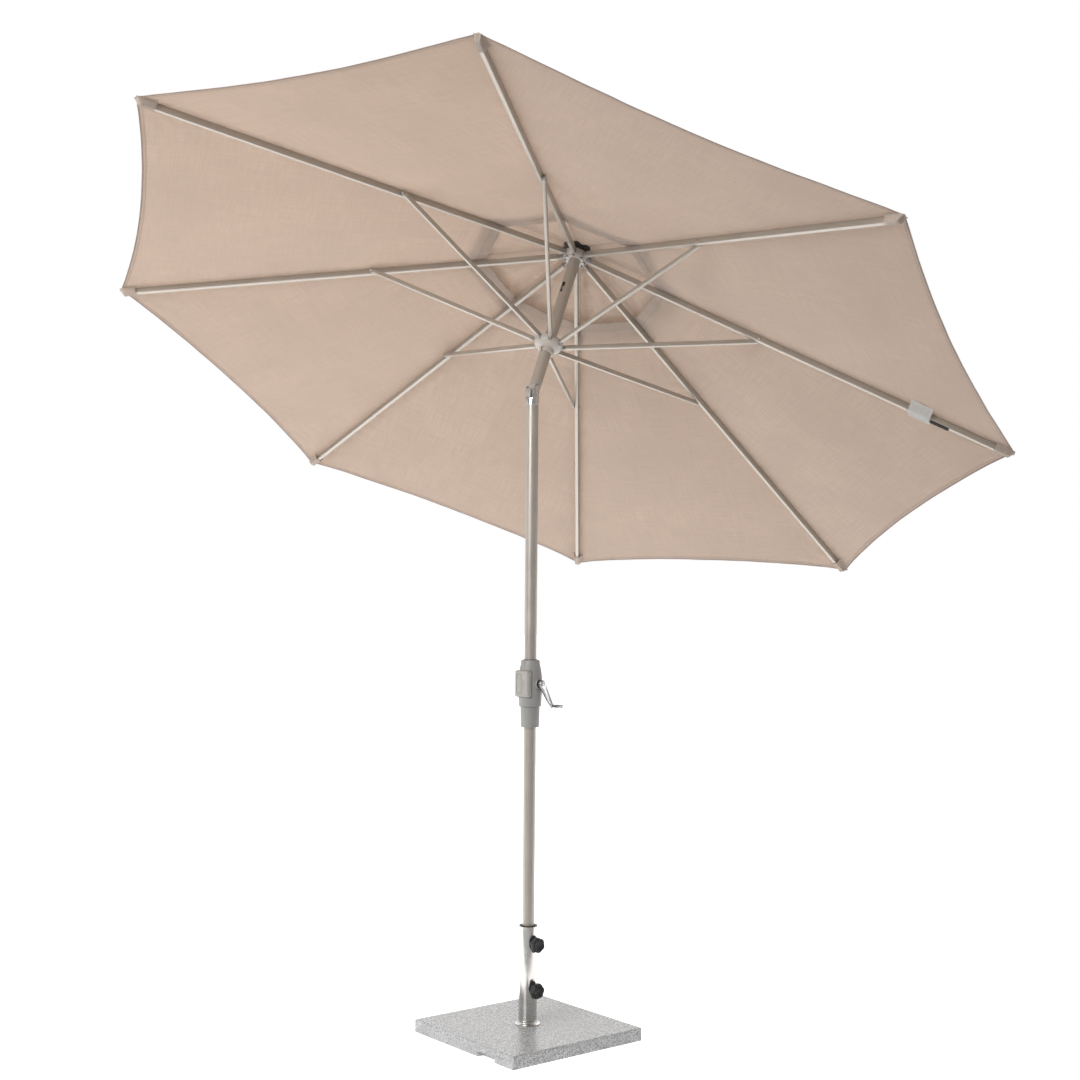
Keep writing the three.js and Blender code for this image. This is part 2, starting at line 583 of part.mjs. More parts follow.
function buildCrown(parent) {
  const bore = POLE_R + GAP;
  const half = HUB_H / 2;
  const disc = lathe([[bore, -half], [HUB_D / 2 - 6, -half], [HUB_D / 2 - 1, 4 - half], [HUB_D / 2, 8 - half],
    [HUB_D / 2, half - 2], [HUB_D / 2 - 2, half], [bore, half]]);
  const slotW = TONGUE_W + 2 * RUN;
  const slots = [...Array(RIB_COUNT).keys()].map((i) => atRib(block(RIB_HINGE_R - HUB_SLOT_IN, HUB_D,
    -slotW / 2, slotW / 2, -HUB_H, TONGUE_H / 2 + 1), i));
  const wireway = wireChannel(RIB_HINGE_R, -HUB_H, WIRE_D / 2 + GAP);
  piece(parent, "crown_hub", cut(disc, ...slots, wireway), palePlastic);
  piece(parent, "crown_wire", hingeWire(RIB_HINGE_R), steel);

  const capLow = half + GAP;
  const capTop = capLow + CAP_BOSS_H + CAP_H;
  piece(parent, "crown_cap", lathe([[0, capLow], [CAP_BOSS_D / 2, capLow], [CAP_BOSS_D / 2, capLow + CAP_BOSS_H],
    [CAP_D / 2 - 2, capLow + CAP_BOSS_H], [CAP_D / 2, capLow + CAP_BOSS_H + 1], [CAP_SPIGOT_D / 2, capTop],
    [CAP_SPIGOT_D / 2, capTop + CAP_SPIGOT], [0, capTop + CAP_SPIGOT]]), darkPlastic);
  const seat = capTop + CLOTH + 2 * GAP;
  const r = FINIAL_D / 2;
  const bottom = new THREE.Vector2(r, seat + 3);
  const top = new THREE.Vector2(4, seat + FINIAL_H);
  const profile = new THREE.CubicBezierCurve(bottom, new THREE.Vector2(r * 0.95, seat + FINIAL_H * 0.45),
    new THREE.Vector2(r * 0.22, seat + FINIAL_H * 0.35), top).getPoints(6).map((p) => [p.x, p.y]);
  const socket = capTop + CAP_SPIGOT + GAP;
  const stem = CAP_SPIGOT_D / 2 + GAP;
  piece(parent, "finial", lathe([[stem, seat], [r - 2, seat], ...profile, [0, seat + FINIAL_H + 3],
    [0, socket], [stem, socket]]), beigePlastic);

  const rib = ribGeometry();
  for (let i = 0; i < RIB_COUNT; i++) {
    const turn = RIB_PHASE + i * STEP;
    const at = new THREE.Vector3(RIB_HINGE_R, 0, 0).applyAxisAngle(Z, rad(turn));
    piece(group(parent, { at: at.toArray(), turn, tilt: RIB_DROOP }), `rib_${i + 1}`, rib, frameMetal);
  }
  piece(parent, "canopy", canopy(), cloth);
  piece(parent, "vent_cover", ventCover(capTop + GAP), cloth);
}

// A rib along +X from its hinge: a tongue in a plug in a rectangular tube, with a rivet hole in its +Y wall.
function ribGeometry() {
  const shellTube = bar(RIB_W, RIB_H, RIB_CHAMFER, RIB_START, RIB_REACH - RIB_END_BACK, RIB_WALL);
  const [plugW, plugH] = [RIB_W / 2 - 1, RIB_H / 2 - 1];
  const plug = block(RIB_START, RIB_START + PLUG_LENGTH, -plugW, plugW, -plugH, plugH);
  const tongue = block(0, RIB_START + 1, -TONGUE_W / 2, TONGUE_W / 2, -TONGUE_H / 2, TONGUE_H / 2);
  const eye = rod(TONGUE_H / 2, -TONGUE_W / 2, TONGUE_W / 2).applyMatrix4(alongY);
  const eyeHole = rod(WIRE_D / 2 + RUN, -RIB_W, RIB_W, 12).applyMatrix4(alongY);
  const rivetRod = rod(RIVET_HOLE / 2, 0, RIB_W, COARSE).applyMatrix4(alongY);
  const rivetHole = rivetRod.translate(STRUT_ATTACH, RIB_W, 0);
  return cut(join(shellTube, plug, tongue, eye), eyeHole, rivetHole);
}

// ---- runner and struts ----
// The strut's angle above square to the pole, and its length, follow from the rivet and the runner's place.
const RIVET_OUT = RIB_HINGE_R + STRUT_ATTACH * Math.cos(rad(RIB_DROOP)) - STRUT_HINGE_R;
const RIVET_RISE = CROWN_TO_RUNNER - STRUT_ATTACH * Math.sin(rad(RIB_DROOP));
const STRUT_LENGTH = Math.hypot(RIVET_OUT, RIVET_RISE);
const STRUT_RISE = THREE.MathUtils.radToDeg(Math.atan2(RIVET_RISE, RIVET_OUT));

function buildRunner(parent) {
  const bore = POLE_R + RUN;
  const low = -RUNNER_DOME;
  const r = RUNNER_D / 2;
  const dome = new THREE.EllipseCurve(0, 0, r, RUNNER_DOME, -0.32 * Math.PI, 0).getPoints(5)
    .map((p) => [p.x, p.y]);
  const body = lathe([[bore, low - RUNNER_NECK_H], [RUNNER_NECK_D / 2 - 1, low - RUNNER_NECK_H],
    [RUNNER_NECK_D / 2, 1 + low - RUNNER_NECK_H], ...dome, [r, RUNNER_TOP - 2], [r - 2, RUNNER_TOP],
    [bore, RUNNER_TOP]]);
  const slotW = STRUT_W - 2 + 2 * RUN;
  const slots = [...Array(RIB_COUNT).keys()].map((i) => atRib(block(STRUT_HINGE_R - STRUT_H / 2 - 1, RUNNER_D,
    -slotW / 2, slotW / 2, -STRUT_H / 2 - 1, RUNNER_D).translate(0, SIDE_OFFSET, 0), i));
  const wireway = wireChannel(STRUT_HINGE_R, -WIRE_D / 2 - GAP, RUNNER_TOP + 1);
  piece(parent, "runner", cut(body, ...slots, wireway), palePlastic);
  piece(parent, "runner_wire", hingeWire(STRUT_HINGE_R), steel);

  const strut = strutGeometry();
  for (let i = 0; i < RIB_COUNT; i++) {
    const turn = RIB_PHASE + i * STEP;
    const at = new THREE.Vector3(STRUT_HINGE_R, SIDE_OFFSET, 0).applyAxisAngle(Z, rad(turn));
    piece(group(parent, { at: at.toArray(), turn, tilt: -STRUT_RISE }), `strut_${i + 1}`, strut, frameMetal);
  }
}

// A strut along +X from its hinge, with a round-ended tongue and a rivet stub towards the rib on its -Y side.
function strutGeometry() {
  const shellTube = bar(STRUT_W, STRUT_H, RIB_CHAMFER, STRUT_START, STRUT_LENGTH + STRUT_PAST, STRUT_WALL);
  const [w, h] = [STRUT_W / 2 - 1, STRUT_H / 2 - 1];
  const plug = block(STRUT_START, STRUT_START + PLUG_LENGTH / 2, -w, w, -h, h);
  const tongue = block(0, STRUT_START + 1, -w, w, -h, h);
  const eye = rod(h, -w, w).applyMatrix4(alongY);
  const eyeHole = rod(WIRE_D / 2 + RUN, -RIB_W, RIB_W, 12).applyMatrix4(alongY);
  const rivet = rod(RIVET_D / 2, 1 - STRUT_W / 2, STRUT_W / 2 + 2 * GAP + RIVET_IN).applyMatrix4(alongY)
    .translate(STRUT_LENGTH, 0, 0);
  return cut(join(shellTube, plug, tongue, eye, rivet), eyeHole);
}

// ---- canopy ----
// The cloth lies on the ribs' tops: its height over the hinge plane at a distance from the axis along a rib.
const CLOTH_BASE = (RIB_H / 2 + CLOTH_LIFT) / Math.cos(rad(RIB_DROOP))
  + RIB_HINGE_R * Math.tan(rad(RIB_DROOP));
const clothHeight = (out) => CLOTH_BASE - out * Math.tan(rad(RIB_DROOP));

// A ring-shaped sheet over the ribs, eight-sided, from an inner to an outer edge. Each edge's distance from the
// axis between two ribs is its corner's times cos of half a step, less its curve; "raise" lifts the sheet.
function sheet(innerR, outerR, outerCurve, raise, rows = 3, perSide = 4) {
  const columns = RIB_COUNT * perSide;
  const top = [];
  for (let i = 0; i < columns; i++) {
    const t = (i % perSide) / perSide;
    const k = Math.floor(i / perSide);
    const [a, b] = [rad(RIB_PHASE + k * STEP), rad(RIB_PHASE + (k + 1) * STEP)];
    const flat = new THREE.Vector2(Math.cos(a), Math.sin(a));
    flat.lerp(new THREE.Vector2(Math.cos(b), Math.sin(b)), t);
    const drawnIn = outerCurve * 4 * t * (1 - t) / flat.length();
    for (let j = 0; j <= rows; j++) {
      const s = innerR + (outerR - drawnIn - innerR) * (j / rows);
      const share = (s - innerR) / (outerR - innerR);
      top.push([flat.x * s, flat.y * s, clothHeight(s) + raise(share)]);
    }
  }
  const points = top.flatMap(([x, y, z]) => [x, y, z + CLOTH, x, y, z]);
  const at = (i, j, under) => 2 * ((i % columns) * (rows + 1) + j) + under;
  const faces = [];
  const quad = (a, b, c, d) => faces.push(a, b, c, a, c, d);
  for (let i = 0; i < columns; i++) {
    for (let j = 0; j < rows; j++) {
      quad(at(i, j, 0), at(i, j + 1, 0), at(i + 1, j + 1, 0), at(i + 1, j, 0));
      quad(at(i, j, 1), at(i + 1, j, 1), at(i + 1, j + 1, 1), at(i, j + 1, 1));
    }
    quad(at(i, 0, 0), at(i + 1, 0, 0), at(i + 1, 0, 1), at(i, 0, 1));
    quad(at(i, rows, 1), at(i + 1, rows, 1), at(i + 1, rows, 0), at(i, rows, 0));
  }
  const geometry = new THREE.BufferGeometry();
  geometry.setAttribute("position", new THREE.Float32BufferAttribute(points, 3));
  geometry.setIndex(faces);
  return geometry;
}

const ribOut = (along) => RIB_HINGE_R + along * Math.cos(rad(RIB_DROOP));

const canopy = () => sheet(VENT_R * Math.cos(rad(RIB_DROOP)), ribOut(RIB_REACH), HEM_CURVE, () => 0);

// The cover over the vent runs from the crown cap out past the hole, held off the canopy by a step.
function ventCover(seat) {
  const inner = CAP_SPIGOT_D / 2 + 2;
  const peak = seat - clothHeight(inner);
  const outer = VENT_COVER_R * Math.cos(rad(RIB_DROOP));
  return sheet(inner, outer, 12, (share) => peak + (VENT_LIFT - peak) * share, 3, 2);
}

buildBase(umbrella);
buildMast(umbrella);

export default umbrella;
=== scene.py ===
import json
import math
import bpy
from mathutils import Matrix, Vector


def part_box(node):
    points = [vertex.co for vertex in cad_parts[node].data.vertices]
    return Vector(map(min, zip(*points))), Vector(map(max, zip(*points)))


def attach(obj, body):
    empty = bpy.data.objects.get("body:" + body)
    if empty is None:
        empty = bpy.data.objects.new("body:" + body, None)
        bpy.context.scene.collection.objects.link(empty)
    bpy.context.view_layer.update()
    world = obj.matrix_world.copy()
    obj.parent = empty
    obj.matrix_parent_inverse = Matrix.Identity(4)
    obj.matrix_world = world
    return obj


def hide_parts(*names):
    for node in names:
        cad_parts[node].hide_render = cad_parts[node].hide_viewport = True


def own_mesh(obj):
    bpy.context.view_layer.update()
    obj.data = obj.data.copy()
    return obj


bl_info = {
    "name": "Patio Umbrella with Base",
    "version": (1, 0, 0),
    "blender": (4, 5, 0),
    "location": "View3D > Sidebar > Umbrella",
    "description": "Builds the looks of a tilting patio umbrella in a granite base around its packed frame",
    "category": "Object",
}

import bpy
from mathutils import Matrix, Vector, noise

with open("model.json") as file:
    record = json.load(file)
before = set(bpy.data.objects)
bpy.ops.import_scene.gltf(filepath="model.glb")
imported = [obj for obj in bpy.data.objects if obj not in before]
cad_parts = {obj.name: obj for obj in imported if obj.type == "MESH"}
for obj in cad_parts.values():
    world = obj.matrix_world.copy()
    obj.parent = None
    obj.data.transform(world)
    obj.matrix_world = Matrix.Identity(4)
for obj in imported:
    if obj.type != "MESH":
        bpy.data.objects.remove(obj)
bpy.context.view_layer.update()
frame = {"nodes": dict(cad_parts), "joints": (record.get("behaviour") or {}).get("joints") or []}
JOINTS = {j["name"]: j for j in frame["joints"]}
NODES = frame["nodes"]
RIBS = range(1, 9)
MM = 0.001


# ---- places, worked out from the frame ----
def seat(origin, y, z):
    """The matrix of a place with that origin, Y axis and Z axis."""
    x = y.cross(z)
    return Matrix.Translation(origin) @ Matrix((x, y, z)).transposed().to_4x4()


def joint_point(name):
    return Vector(JOINTS[name]["pos_m"])


def joint_axis(name):
    return Vector(JOINTS[name]["axis"]).normalized()


def middle(points):
    points = list(points)
    return sum(points, Vector()) / len(points)


def bar_seat(joint, node):
    """A rib's or strut's place: its origin on its hinge, X along it, Y along the hinge."""
    origin, y = joint_point(joint), joint_axis(joint)
    corners = [v.co for v in NODES[node].data.vertices]
    reach = max((c - origin).length for c in corners)
    far = middle(c for c in corners if (c - origin).length > reach - 3 * MM) - origin
    x = (far - far.dot(y) * y).normalized()
    if x.cross(y).dot(HEAD_UP) < 0:
        y = -y
    return seat(origin, y, x.cross(y))


def bar_length(joint, node):
    origin = joint_point(joint)
    return max((v.co - origin).length for v in NODES[node].data.vertices)


def span(place, *nodes):
    """The low and high corners of CAD nodes, measured along the axes of a place."""
    back = place.inverted()
    points = [back @ v.co for n in nodes for v in NODES[n].data.vertices]
    return (Vector(pick(p[i] for p in points) for i in range(3)) for pick in (min, max))


UP = Vector((0, 0, 1))
HEAD_UP = -joint_axis("runner_slide")
TILT_AXIS = joint_axis("head_tilt")
PIN = joint_point("head_tilt")
GROUND = seat(Vector(), Vector((0, 1, 0)), UP)
MAST = seat(Vector(), TILT_AXIS, UP)
TILT = seat(PIN, TILT_AXIS, UP)
HEAD = seat(PIN, TILT_AXIS, HEAD_UP)
WINCH = seat(joint_point("crank_turn"), -joint_axis("crank_turn"), UP)
CROWN = seat(middle(joint_point(f"rib_{k}_fold") for k in RIBS), TILT_AXIS, HEAD_UP)
RUNNER = seat(middle(joint_point(f"strut_{k}_fold") for k in RIBS), TILT_AXIS, HEAD_UP)
RIB_SEATS = {k: bar_seat(f"rib_{k}_fold", f"rib_{k}") for k in RIBS}
STRUT_SEATS = {k: bar_seat(f"strut_{k}_fold", f"strut_{k}") for k in RIBS}
RIB_TURNS = {
    k: math.atan2(*(CROWN.inverted() @ RIB_SEATS[k].translation).yx) for k in RIBS
}
RIB_DROOP = math.asin(-(RIB_SEATS[1].to_3x3() @ Vector((1, 0, 0))).dot(HEAD_UP))
RIB_HINGE = (CROWN.inverted() @ RIB_SEATS[1].translation).xy.length
RIB_END = bar_length("rib_1_fold", "rib_1")
STRUT_END = bar_length("strut_1_fold", "strut_1")
CROWN_UP = (CROWN.translation - PIN).length
RUNNER_UP = (RUNNER.translation - PIN).length
SLAB_LOW, SLAB_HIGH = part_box("granite_slab")
FLOOR = min(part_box(f"base_foot_{i}")[0].z for i in range(1, 5))
COVER_BASE = 0.0457  # the vent cover's underside on the crown's axis, over the crown's origin


# ---- values that a user would change ----
def size(name, default, description):
    return bpy.props.FloatProperty(
        name=name, description=description, default=default, unit="LENGTH", precision=4
    )


def colour(name, default, description):
    return bpy.props.FloatVectorProperty(
        name=name, description=description, default=default, subtype="COLOR", size=3, min=0, max=1
    )


class UmbrellaSizes(bpy.types.PropertyGroup):
    pole: size("Mast", 0.038, "Outer diameter of the mast's tubes")
    pole_wall: size("Mast wall", 0.0015, "Wall of the mast's tubes")
    sleeve: size("Sleeve", 0.057, "Outer diameter of the base's sleeve")
    sleeve_wall: size("Sleeve wall", 0.0018, "Wall of the base's sleeve")
    slab_edge: size("Slab edge", 0.003, "Width of the slab's eased edges")
    knob: size("Knob", 0.048, "Width of a clamp knob")
    rib_width: size("Rib width", 0.012, "Width of a rib")
    rib_height: size("Rib height", 0.020, "Height of a rib")
    strut_width: size("Strut width", 0.010, "Width of a strut")
    strut_height: size("Strut height", 0.015, "Height of a strut")
    cloth: size("Cloth", 0.0009, "Thickness of the canopy's cloth")
    hem: size("Hem", 0.015, "Width of the canopy's hem")
    reach: size("Reach", 1.492, "Rib hinge to the canopy's corner")
    scallop: size("Edge curve", 0.040, "How far the canopy's edge curves in between two ribs")
    vent: size("Vent", 0.300, "Axis to the vent hole's corner, along a rib")
    vent_cover: size("Vent cover", 0.385, "Axis to the vent cover's corner, along a rib")


class UmbrellaColours(bpy.types.PropertyGroup):
    cloth: colour("Cloth", (0.60, 0.50, 0.425), "Canopy and vent cover")
    thread: colour("Thread", (0.25, 0.20, 0.165), "Seams and stitches")
    coat: colour("Frame", (0.44, 0.405, 0.36), "Coat on the tubes")
    granite: colour("Granite", (0.40, 0.405, 0.41), "Middle tone of the slab")
    black: colour("Black plastic", (0.012, 0.013, 0.015), "Knobs and liner")
    grey: colour("Grey plastic", (0.29, 0.285, 0.275), "Crank housing")
    beige: colour("Beige plastic", (0.36, 0.345, 0.32), "Housing cover, release and finial")
    pale: colour("Pale plastic", (0.46, 0.42, 0.38), "Crown hub and runner")
    dark: colour("Dark plastic", (0.045, 0.042, 0.038), "Crown cap")


def sizes():
    return bpy.context.scene.umbrella_sizes


def colours():
    return bpy.context.scene.umbrella_colours


# ---- modelling by operators ----
ops = bpy.ops


def active():
    return bpy.context.view_layer.objects.active


def clear():
    if bpy.context.mode != "OBJECT":
        ops.object.mode_set(mode="OBJECT")
    ops.object.select_all(action="DESELECT")


def editing():
    ops.object.mode_set(mode="EDIT")


def done_editing():
    ops.object.mode_set(mode="OBJECT")


def choose(kind, test):
    """Selects in code the faces or edges of the active mesh that pass a test of their middle and direction."""
    ops.mesh.select_all(action="DESELECT")
    ops.object.mode_set(mode="OBJECT")
    mesh = active().data
    points = mesh.vertices
    for part in mesh.polygons if kind == "FACE" else mesh.edges:
        if kind == "FACE":
            part.select = test(part.center, part.normal)
        else:
            a, b = (points[i].co for i in part.vertices)
            part.select = test((a + b) / 2, (b - a).normalized())
    ops.object.mode_set(mode="EDIT")
    ops.mesh.select_mode(type=kind)


def finish_shape(name, smooth=35.0, bevel=0.0, segments=2, angle=50.0):
    """Merges doubles, turns faces outwards, eases sharp edges and shades the active piece."""
    obj = active()
    obj.name = name
    obj.data.name = name
    editing()
    ops.mesh.select_all(action="SELECT")
    ops.mesh.remove_doubles(threshold=1e-6)
    ops.mesh.normals_make_consistent(inside=False)
    done_editing()
    ops.object.transform_apply(location=True, rotation=True, scale=True)
    if bevel:
        apply_modifier(
            obj, "BEVEL", width=bevel, segments=segments, limit_method="ANGLE",
            angle_limit=math.radians(angle), harden_normals=False, miter_outer="MITER_ARC",
        )
    ops.object.shade_smooth_by_angle(angle=math.radians(smooth), keep_sharp_edges=False)
    return obj


def apply_modifier(obj, kind, **values):
    bpy.context.view_layer.objects.active = obj
    modifier = obj.modifiers.new(kind.title(), kind)
    for key, value in values.items():
        setattr(modifier, key, value)
    ops.object.modifier_apply(modifier=modifier.name)


def turned(name, outline, sides=96, ring=False, **finish):
    """A round piece: a circle drawn up ring by ring through its outline of (radius, height).
    A ring's outline runs round its section and closes on itself."""
    clear()
    (r, z), *rest = outline
    ops.mesh.primitive_circle_add(
        vertices=sides, radius=r, fill_type="NOTHING" if ring else "NGON", location=(0, 0, 0)
    )
    editing()
    ops.mesh.select_mode(type="VERT")
    ops.mesh.select_all(action="SELECT")
    ops.transform.translate(value=(0, 0, z))
    for next_r, next_z in rest:
        ops.mesh.extrude_region_move(TRANSFORM_OT_translate={"value": (0, 0, next_z - z)})
        ops.transform.resize(value=(next_r / r, next_r / r, 1))
        r, z = next_r, next_z
    if ring:
        ops.mesh.select_all(action="DESELECT")
        ops.mesh.select_non_manifold(extend=False)
        ops.mesh.bridge_edge_loops()
    done_editing()
    return finish_shape(name, **finish)


def box(name, low, high, rounds=(), **finish):
    """A block between two corners. Each of its rounds is (axis, radius, segments) for the edges along an axis."""
    clear()
    low, high = Vector(low), Vector(high)
    ops.mesh.primitive_cube_add(size=1, location=(low + high) / 2, scale=high - low)
    ops.object.transform_apply(location=True, rotation=False, scale=True)
    editing()
    for axis, radius, segments in rounds:
        choose("EDGE", lambda _, d, axis=axis: abs(d[axis]) > 0.99)
        ops.mesh.bevel(offset=radius, offset_type="OFFSET", segments=segments, affect="EDGES")
    done_editing()
    return finish_shape(name, **finish)


def obround(name, width, height, depth, sides=48, **finish):
    """A bar of obround section, long along Z, running along Y between 0 and its depth."""
    clear()
    ops.mesh.primitive_cylinder_add(
        vertices=sides, radius=width / 2, depth=depth, rotation=(math.pi / 2, 0, 0)
    )
    ops.object.transform_apply(location=True, rotation=True, scale=True)
    editing()
    stretch = (height - width) / 2
    for side in (1, -1):
        ops.mesh.select_all(action="DESELECT")
        ops.object.mode_set(mode="OBJECT")
        for v in active().data.vertices:
            v.select = v.co.z * side > 1e-5
        ops.object.mode_set(mode="EDIT")
        ops.mesh.select_mode(type="VERT")
        ops.transform.translate(value=(0, 0, side * stretch))
    ops.mesh.select_all(action="SELECT")
    ops.transform.translate(value=(0, depth / 2, 0))
    done_editing()
    return finish_shape(name, **finish)


def rod(name, radius, start, end, sides=32, **finish):
    """A round bar between two points."""
    clear()
    start, end = Vector(start), Vector(end)
    turn = (end - start).to_track_quat("Z", "Y").to_euler()
    ops.mesh.primitive_cylinder_add(
        vertices=sides, radius=radius, depth=(end - start).length, location=(start + end) / 2, rotation=turn
    )
    ops.object.transform_apply(location=True, rotation=True, scale=True)
    return finish_shape(name, **finish)


def select_only(*objects):
    clear()
    for obj in objects:
        obj.select_set(True)
    bpy.context.view_layer.objects.active = objects[0]


def joined(name, *objects):
    """Several closed shapes kept as one piece."""
    select_only(*objects)
    if len(objects) > 1:
        ops.object.join()
    active().name = name
    active().data.name = name
    return active()


def carved(obj, *cutters, union=False, smooth=35.0):
    """The piece with the cutters taken away, or grown onto it."""
    for cutter in cutters:
        apply_modifier(
            obj, "BOOLEAN", object=cutter, operation="UNION" if union else "DIFFERENCE", solver="EXACT"
        )
        bpy.data.objects.remove(cutter)
    select_only(obj)
    ops.object.shade_smooth_by_angle(angle=math.radians(smooth), keep_sharp_edges=False)
    return obj


def moved(obj, *matrices):
    """The piece with its mesh carried through the matrices."""
    for matrix in matrices:
        obj.data.transform(matrix)
    obj.data.update()
    return obj


def copied(obj, name):
    twin = obj.copy()
    twin.data = obj.data.copy()
    twin.name = name
    twin.data.name = name
    bpy.context.scene.collection.objects.link(twin)
    return twin


def turn(degrees, axis="Z"):
    return Matrix.Rotation(math.radians(degrees), 4, axis)


def shift(x=0.0, y=0.0, z=0.0):
    return Matrix.Translation((x, y, z))


def ring_outline(outer, wall, low, high, ease=0.0004):
    """The outline of a plain tube with eased ends."""
    inner = outer - wall
    return [
        (inner, low), (outer - ease, low), (outer, low + ease), (outer, high - ease), (outer - ease, high),
        (inner, high)
    ]


def arc(centre_r, centre_z, radius, first, last, steps=6):
    """Outline points round a corner, from one angle to another in degrees."""
    angles = [math.radians(first + (last - first) * i / steps) for i in range(steps + 1)]
    return [(centre_r + radius * math.cos(a), centre_z + radius * math.sin(a)) for a in angles]


def placed(obj, body, finish, place=None, replaces=()):
    """The last step of each piece: its place, body, finish, and the CAD nodes that it stands for."""
    if place is not None:
        moved(obj, place)
    obj.data.materials.clear()
    for material in finish if isinstance(finish, (list, tuple)) else [finish]:
        obj.data.materials.append(FINISHES[material]())
    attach(obj, body)
    if replaces:
        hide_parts(*replaces)
    return obj


# ---- finishes: shared effects are node groups, and each material holds its own shader ----
HEM_TINT = (0.36, 0.29, 0.26)


class Nodes:
    """A node tree being drawn: adds nodes by type, sets their values and links their sockets."""

    def __init__(self, tree):
        self.tree = tree

    def add(self, kind, settings=None, **inputs):
        node = self.tree.nodes.new(kind)
        for key, value in (settings or {}).items():
            setattr(node, key, value)
        for key, value in inputs.items():
            self.feed(node, key.replace("_", " "), value)
        return node

    def feed(self, node, key, value):
        socket = node.inputs[int(key)] if key.isdigit() else node.inputs[key]
        if isinstance(value, bpy.types.NodeSocket):
            self.tree.links.new(value, socket)
        else:
            socket.default_value = value

    def maths(self, operation, a, b=0.0, c=0.0, clamp=False):
        node = self.add("ShaderNodeMath", {"operation": operation, "use_clamp": clamp})
        for i, value in enumerate((a, b, c)):
            self.feed(node, str(i), value)
        return node.outputs[0]

    def blend(self, share, a, b, mode="MIX"):
        node = self.add("ShaderNodeMix", {"data_type": "RGBA", "blend_type": mode})
        for key, value in (("0", share), ("6", a), ("7", b)):
            self.feed(node, key, value)
        return node.outputs[2]

    def spread(self, value, low, high, to_low=0.0, to_high=1.0):
        node = self.add("ShaderNodeMapRange", {"interpolation_type": "SMOOTHSTEP"})
        for key, number in zip(("0", "1", "2", "3", "4"), (value, low, high, to_low, to_high)):
            self.feed(node, key, number)
        return node.outputs[0]

    def noise(self, vector, scale, detail=3.0, roughness=0.5):
        node = self.add("ShaderNodeTexNoise", Scale=scale, Detail=detail, Roughness=roughness)
        self.feed(node, "Vector", vector)
        return node.outputs[0]


def effect(name, takes, gives):
    """A shader node group with named sockets, built once. takes and gives map a name to (type, default)."""
    tree = bpy.data.node_groups.new(name, "ShaderNodeTree")
    for direction, sockets in (("INPUT", takes), ("OUTPUT", gives)):
        for label, (kind, default) in sockets.items():
            socket = tree.interface.new_socket(label, in_out=direction, socket_type=f"NodeSocket{kind}")
            if default is not None:
                socket.default_value = default
    nodes = Nodes(tree)
    return nodes, nodes.add("NodeGroupInput"), nodes.add("NodeGroupOutput")


def grain_effect():
    """Fine moulded or sprayed grain, with slow patches of wear."""
    nodes, given, out = effect(
        "Grain",
        {"Vector": ("Vector", None), "Scale": ("Float", 900.0)},
        {"Height": ("Float", 0.0), "Patches": ("Float", 0.5)},
    )
    fine = nodes.noise(given.outputs["Vector"], given.outputs["Scale"], 2.0)
    slow = nodes.noise(given.outputs["Vector"], 14.0, 4.0, 0.6)
    nodes.feed(out, "Height", fine)
    nodes.feed(out, "Patches", nodes.spread(slow, 0.35, 0.7))


def streaks_effect():
    """Fine drawn lines along one direction, as on brushed or rolled metal."""
    nodes, given, out = effect(
        "Streaks",
        {"Vector": ("Vector", None), "Stretch": ("Vector", (1500.0, 1500.0, 12.0))},
        {"Height": ("Float", 0.0), "Smudges": ("Float", 0.5)},
    )
    pulled = nodes.add("ShaderNodeVectorMath", {"operation": "MULTIPLY"})
    nodes.feed(pulled, "0", given.outputs["Vector"])
    nodes.feed(pulled, "1", given.outputs["Stretch"])
    lines = nodes.noise(pulled.outputs[0], 1.0, 2.0)
    smudge = nodes.noise(given.outputs["Vector"], 22.0, 4.0, 0.65)
    nodes.feed(out, "Height", lines)
    nodes.feed(out, "Smudges", nodes.spread(smudge, 0.4, 0.72))


def weave_effect():
    """A plain weave read along the cloth's own UV map, in metres."""
    nodes, given, out = effect(
        "Weave",
        {"Vector": ("Vector", None), "Threads": ("Float", 1100.0)},
        {"Height": ("Float", 0.0), "Slubs": ("Float", 0.5), "Shade": ("Float", 0.5)},
    )
    split = nodes.add("ShaderNodeSeparateXYZ")
    nodes.feed(split, "Vector", given.outputs["Vector"])
    phases = [nodes.maths("MULTIPLY", split.outputs[i], given.outputs["Threads"]) for i in (0, 1)]
    warp = nodes.maths("ABSOLUTE", nodes.maths("SINE", phases[0]))
    weft = nodes.maths("ABSOLUTE", nodes.maths("SINE", phases[1]))
    over = nodes.maths("MULTIPLY", nodes.maths("SINE", phases[0]), nodes.maths("SINE", phases[1]))
    share = nodes.maths("GREATER_THAN", over, 0.0)
    height = nodes.add("ShaderNodeMix", {"data_type": "FLOAT"})
    for key, value in (("0", share), ("2", warp), ("3", weft)):
        nodes.feed(height, key, value)
    nodes.feed(out, "Height", height.outputs[0])
    slubs = []
    for stretch in ((260.0, 9.0, 1.0), (9.0, 260.0, 1.0)):
        pulled = nodes.add("ShaderNodeVectorMath", {"operation": "MULTIPLY"})
        nodes.feed(pulled, "0", given.outputs["Vector"])
        nodes.feed(pulled, "1", stretch)
        slubs.append(nodes.noise(pulled.outputs[0], 1.0, 3.0))
    both = nodes.maths("MULTIPLY", nodes.maths("ADD", *slubs), 0.5)
    nodes.feed(out, "Slubs", nodes.spread(both, 0.38, 0.62))
    nodes.feed(out, "Shade", nodes.spread(nodes.noise(given.outputs["Vector"], 3.2, 4.0, 0.6), 0.3, 0.7))


def begin(name):
    """A material with its Principled shader, and its Object coordinates."""
    material = bpy.data.materials.new(name)
    material.use_nodes = True
    nodes = Nodes(material.node_tree)
    shader = material.node_tree.nodes["Principled BSDF"]
    where = nodes.add("ShaderNodeTexCoord")
    return material, nodes, shader, where.outputs["Object"]


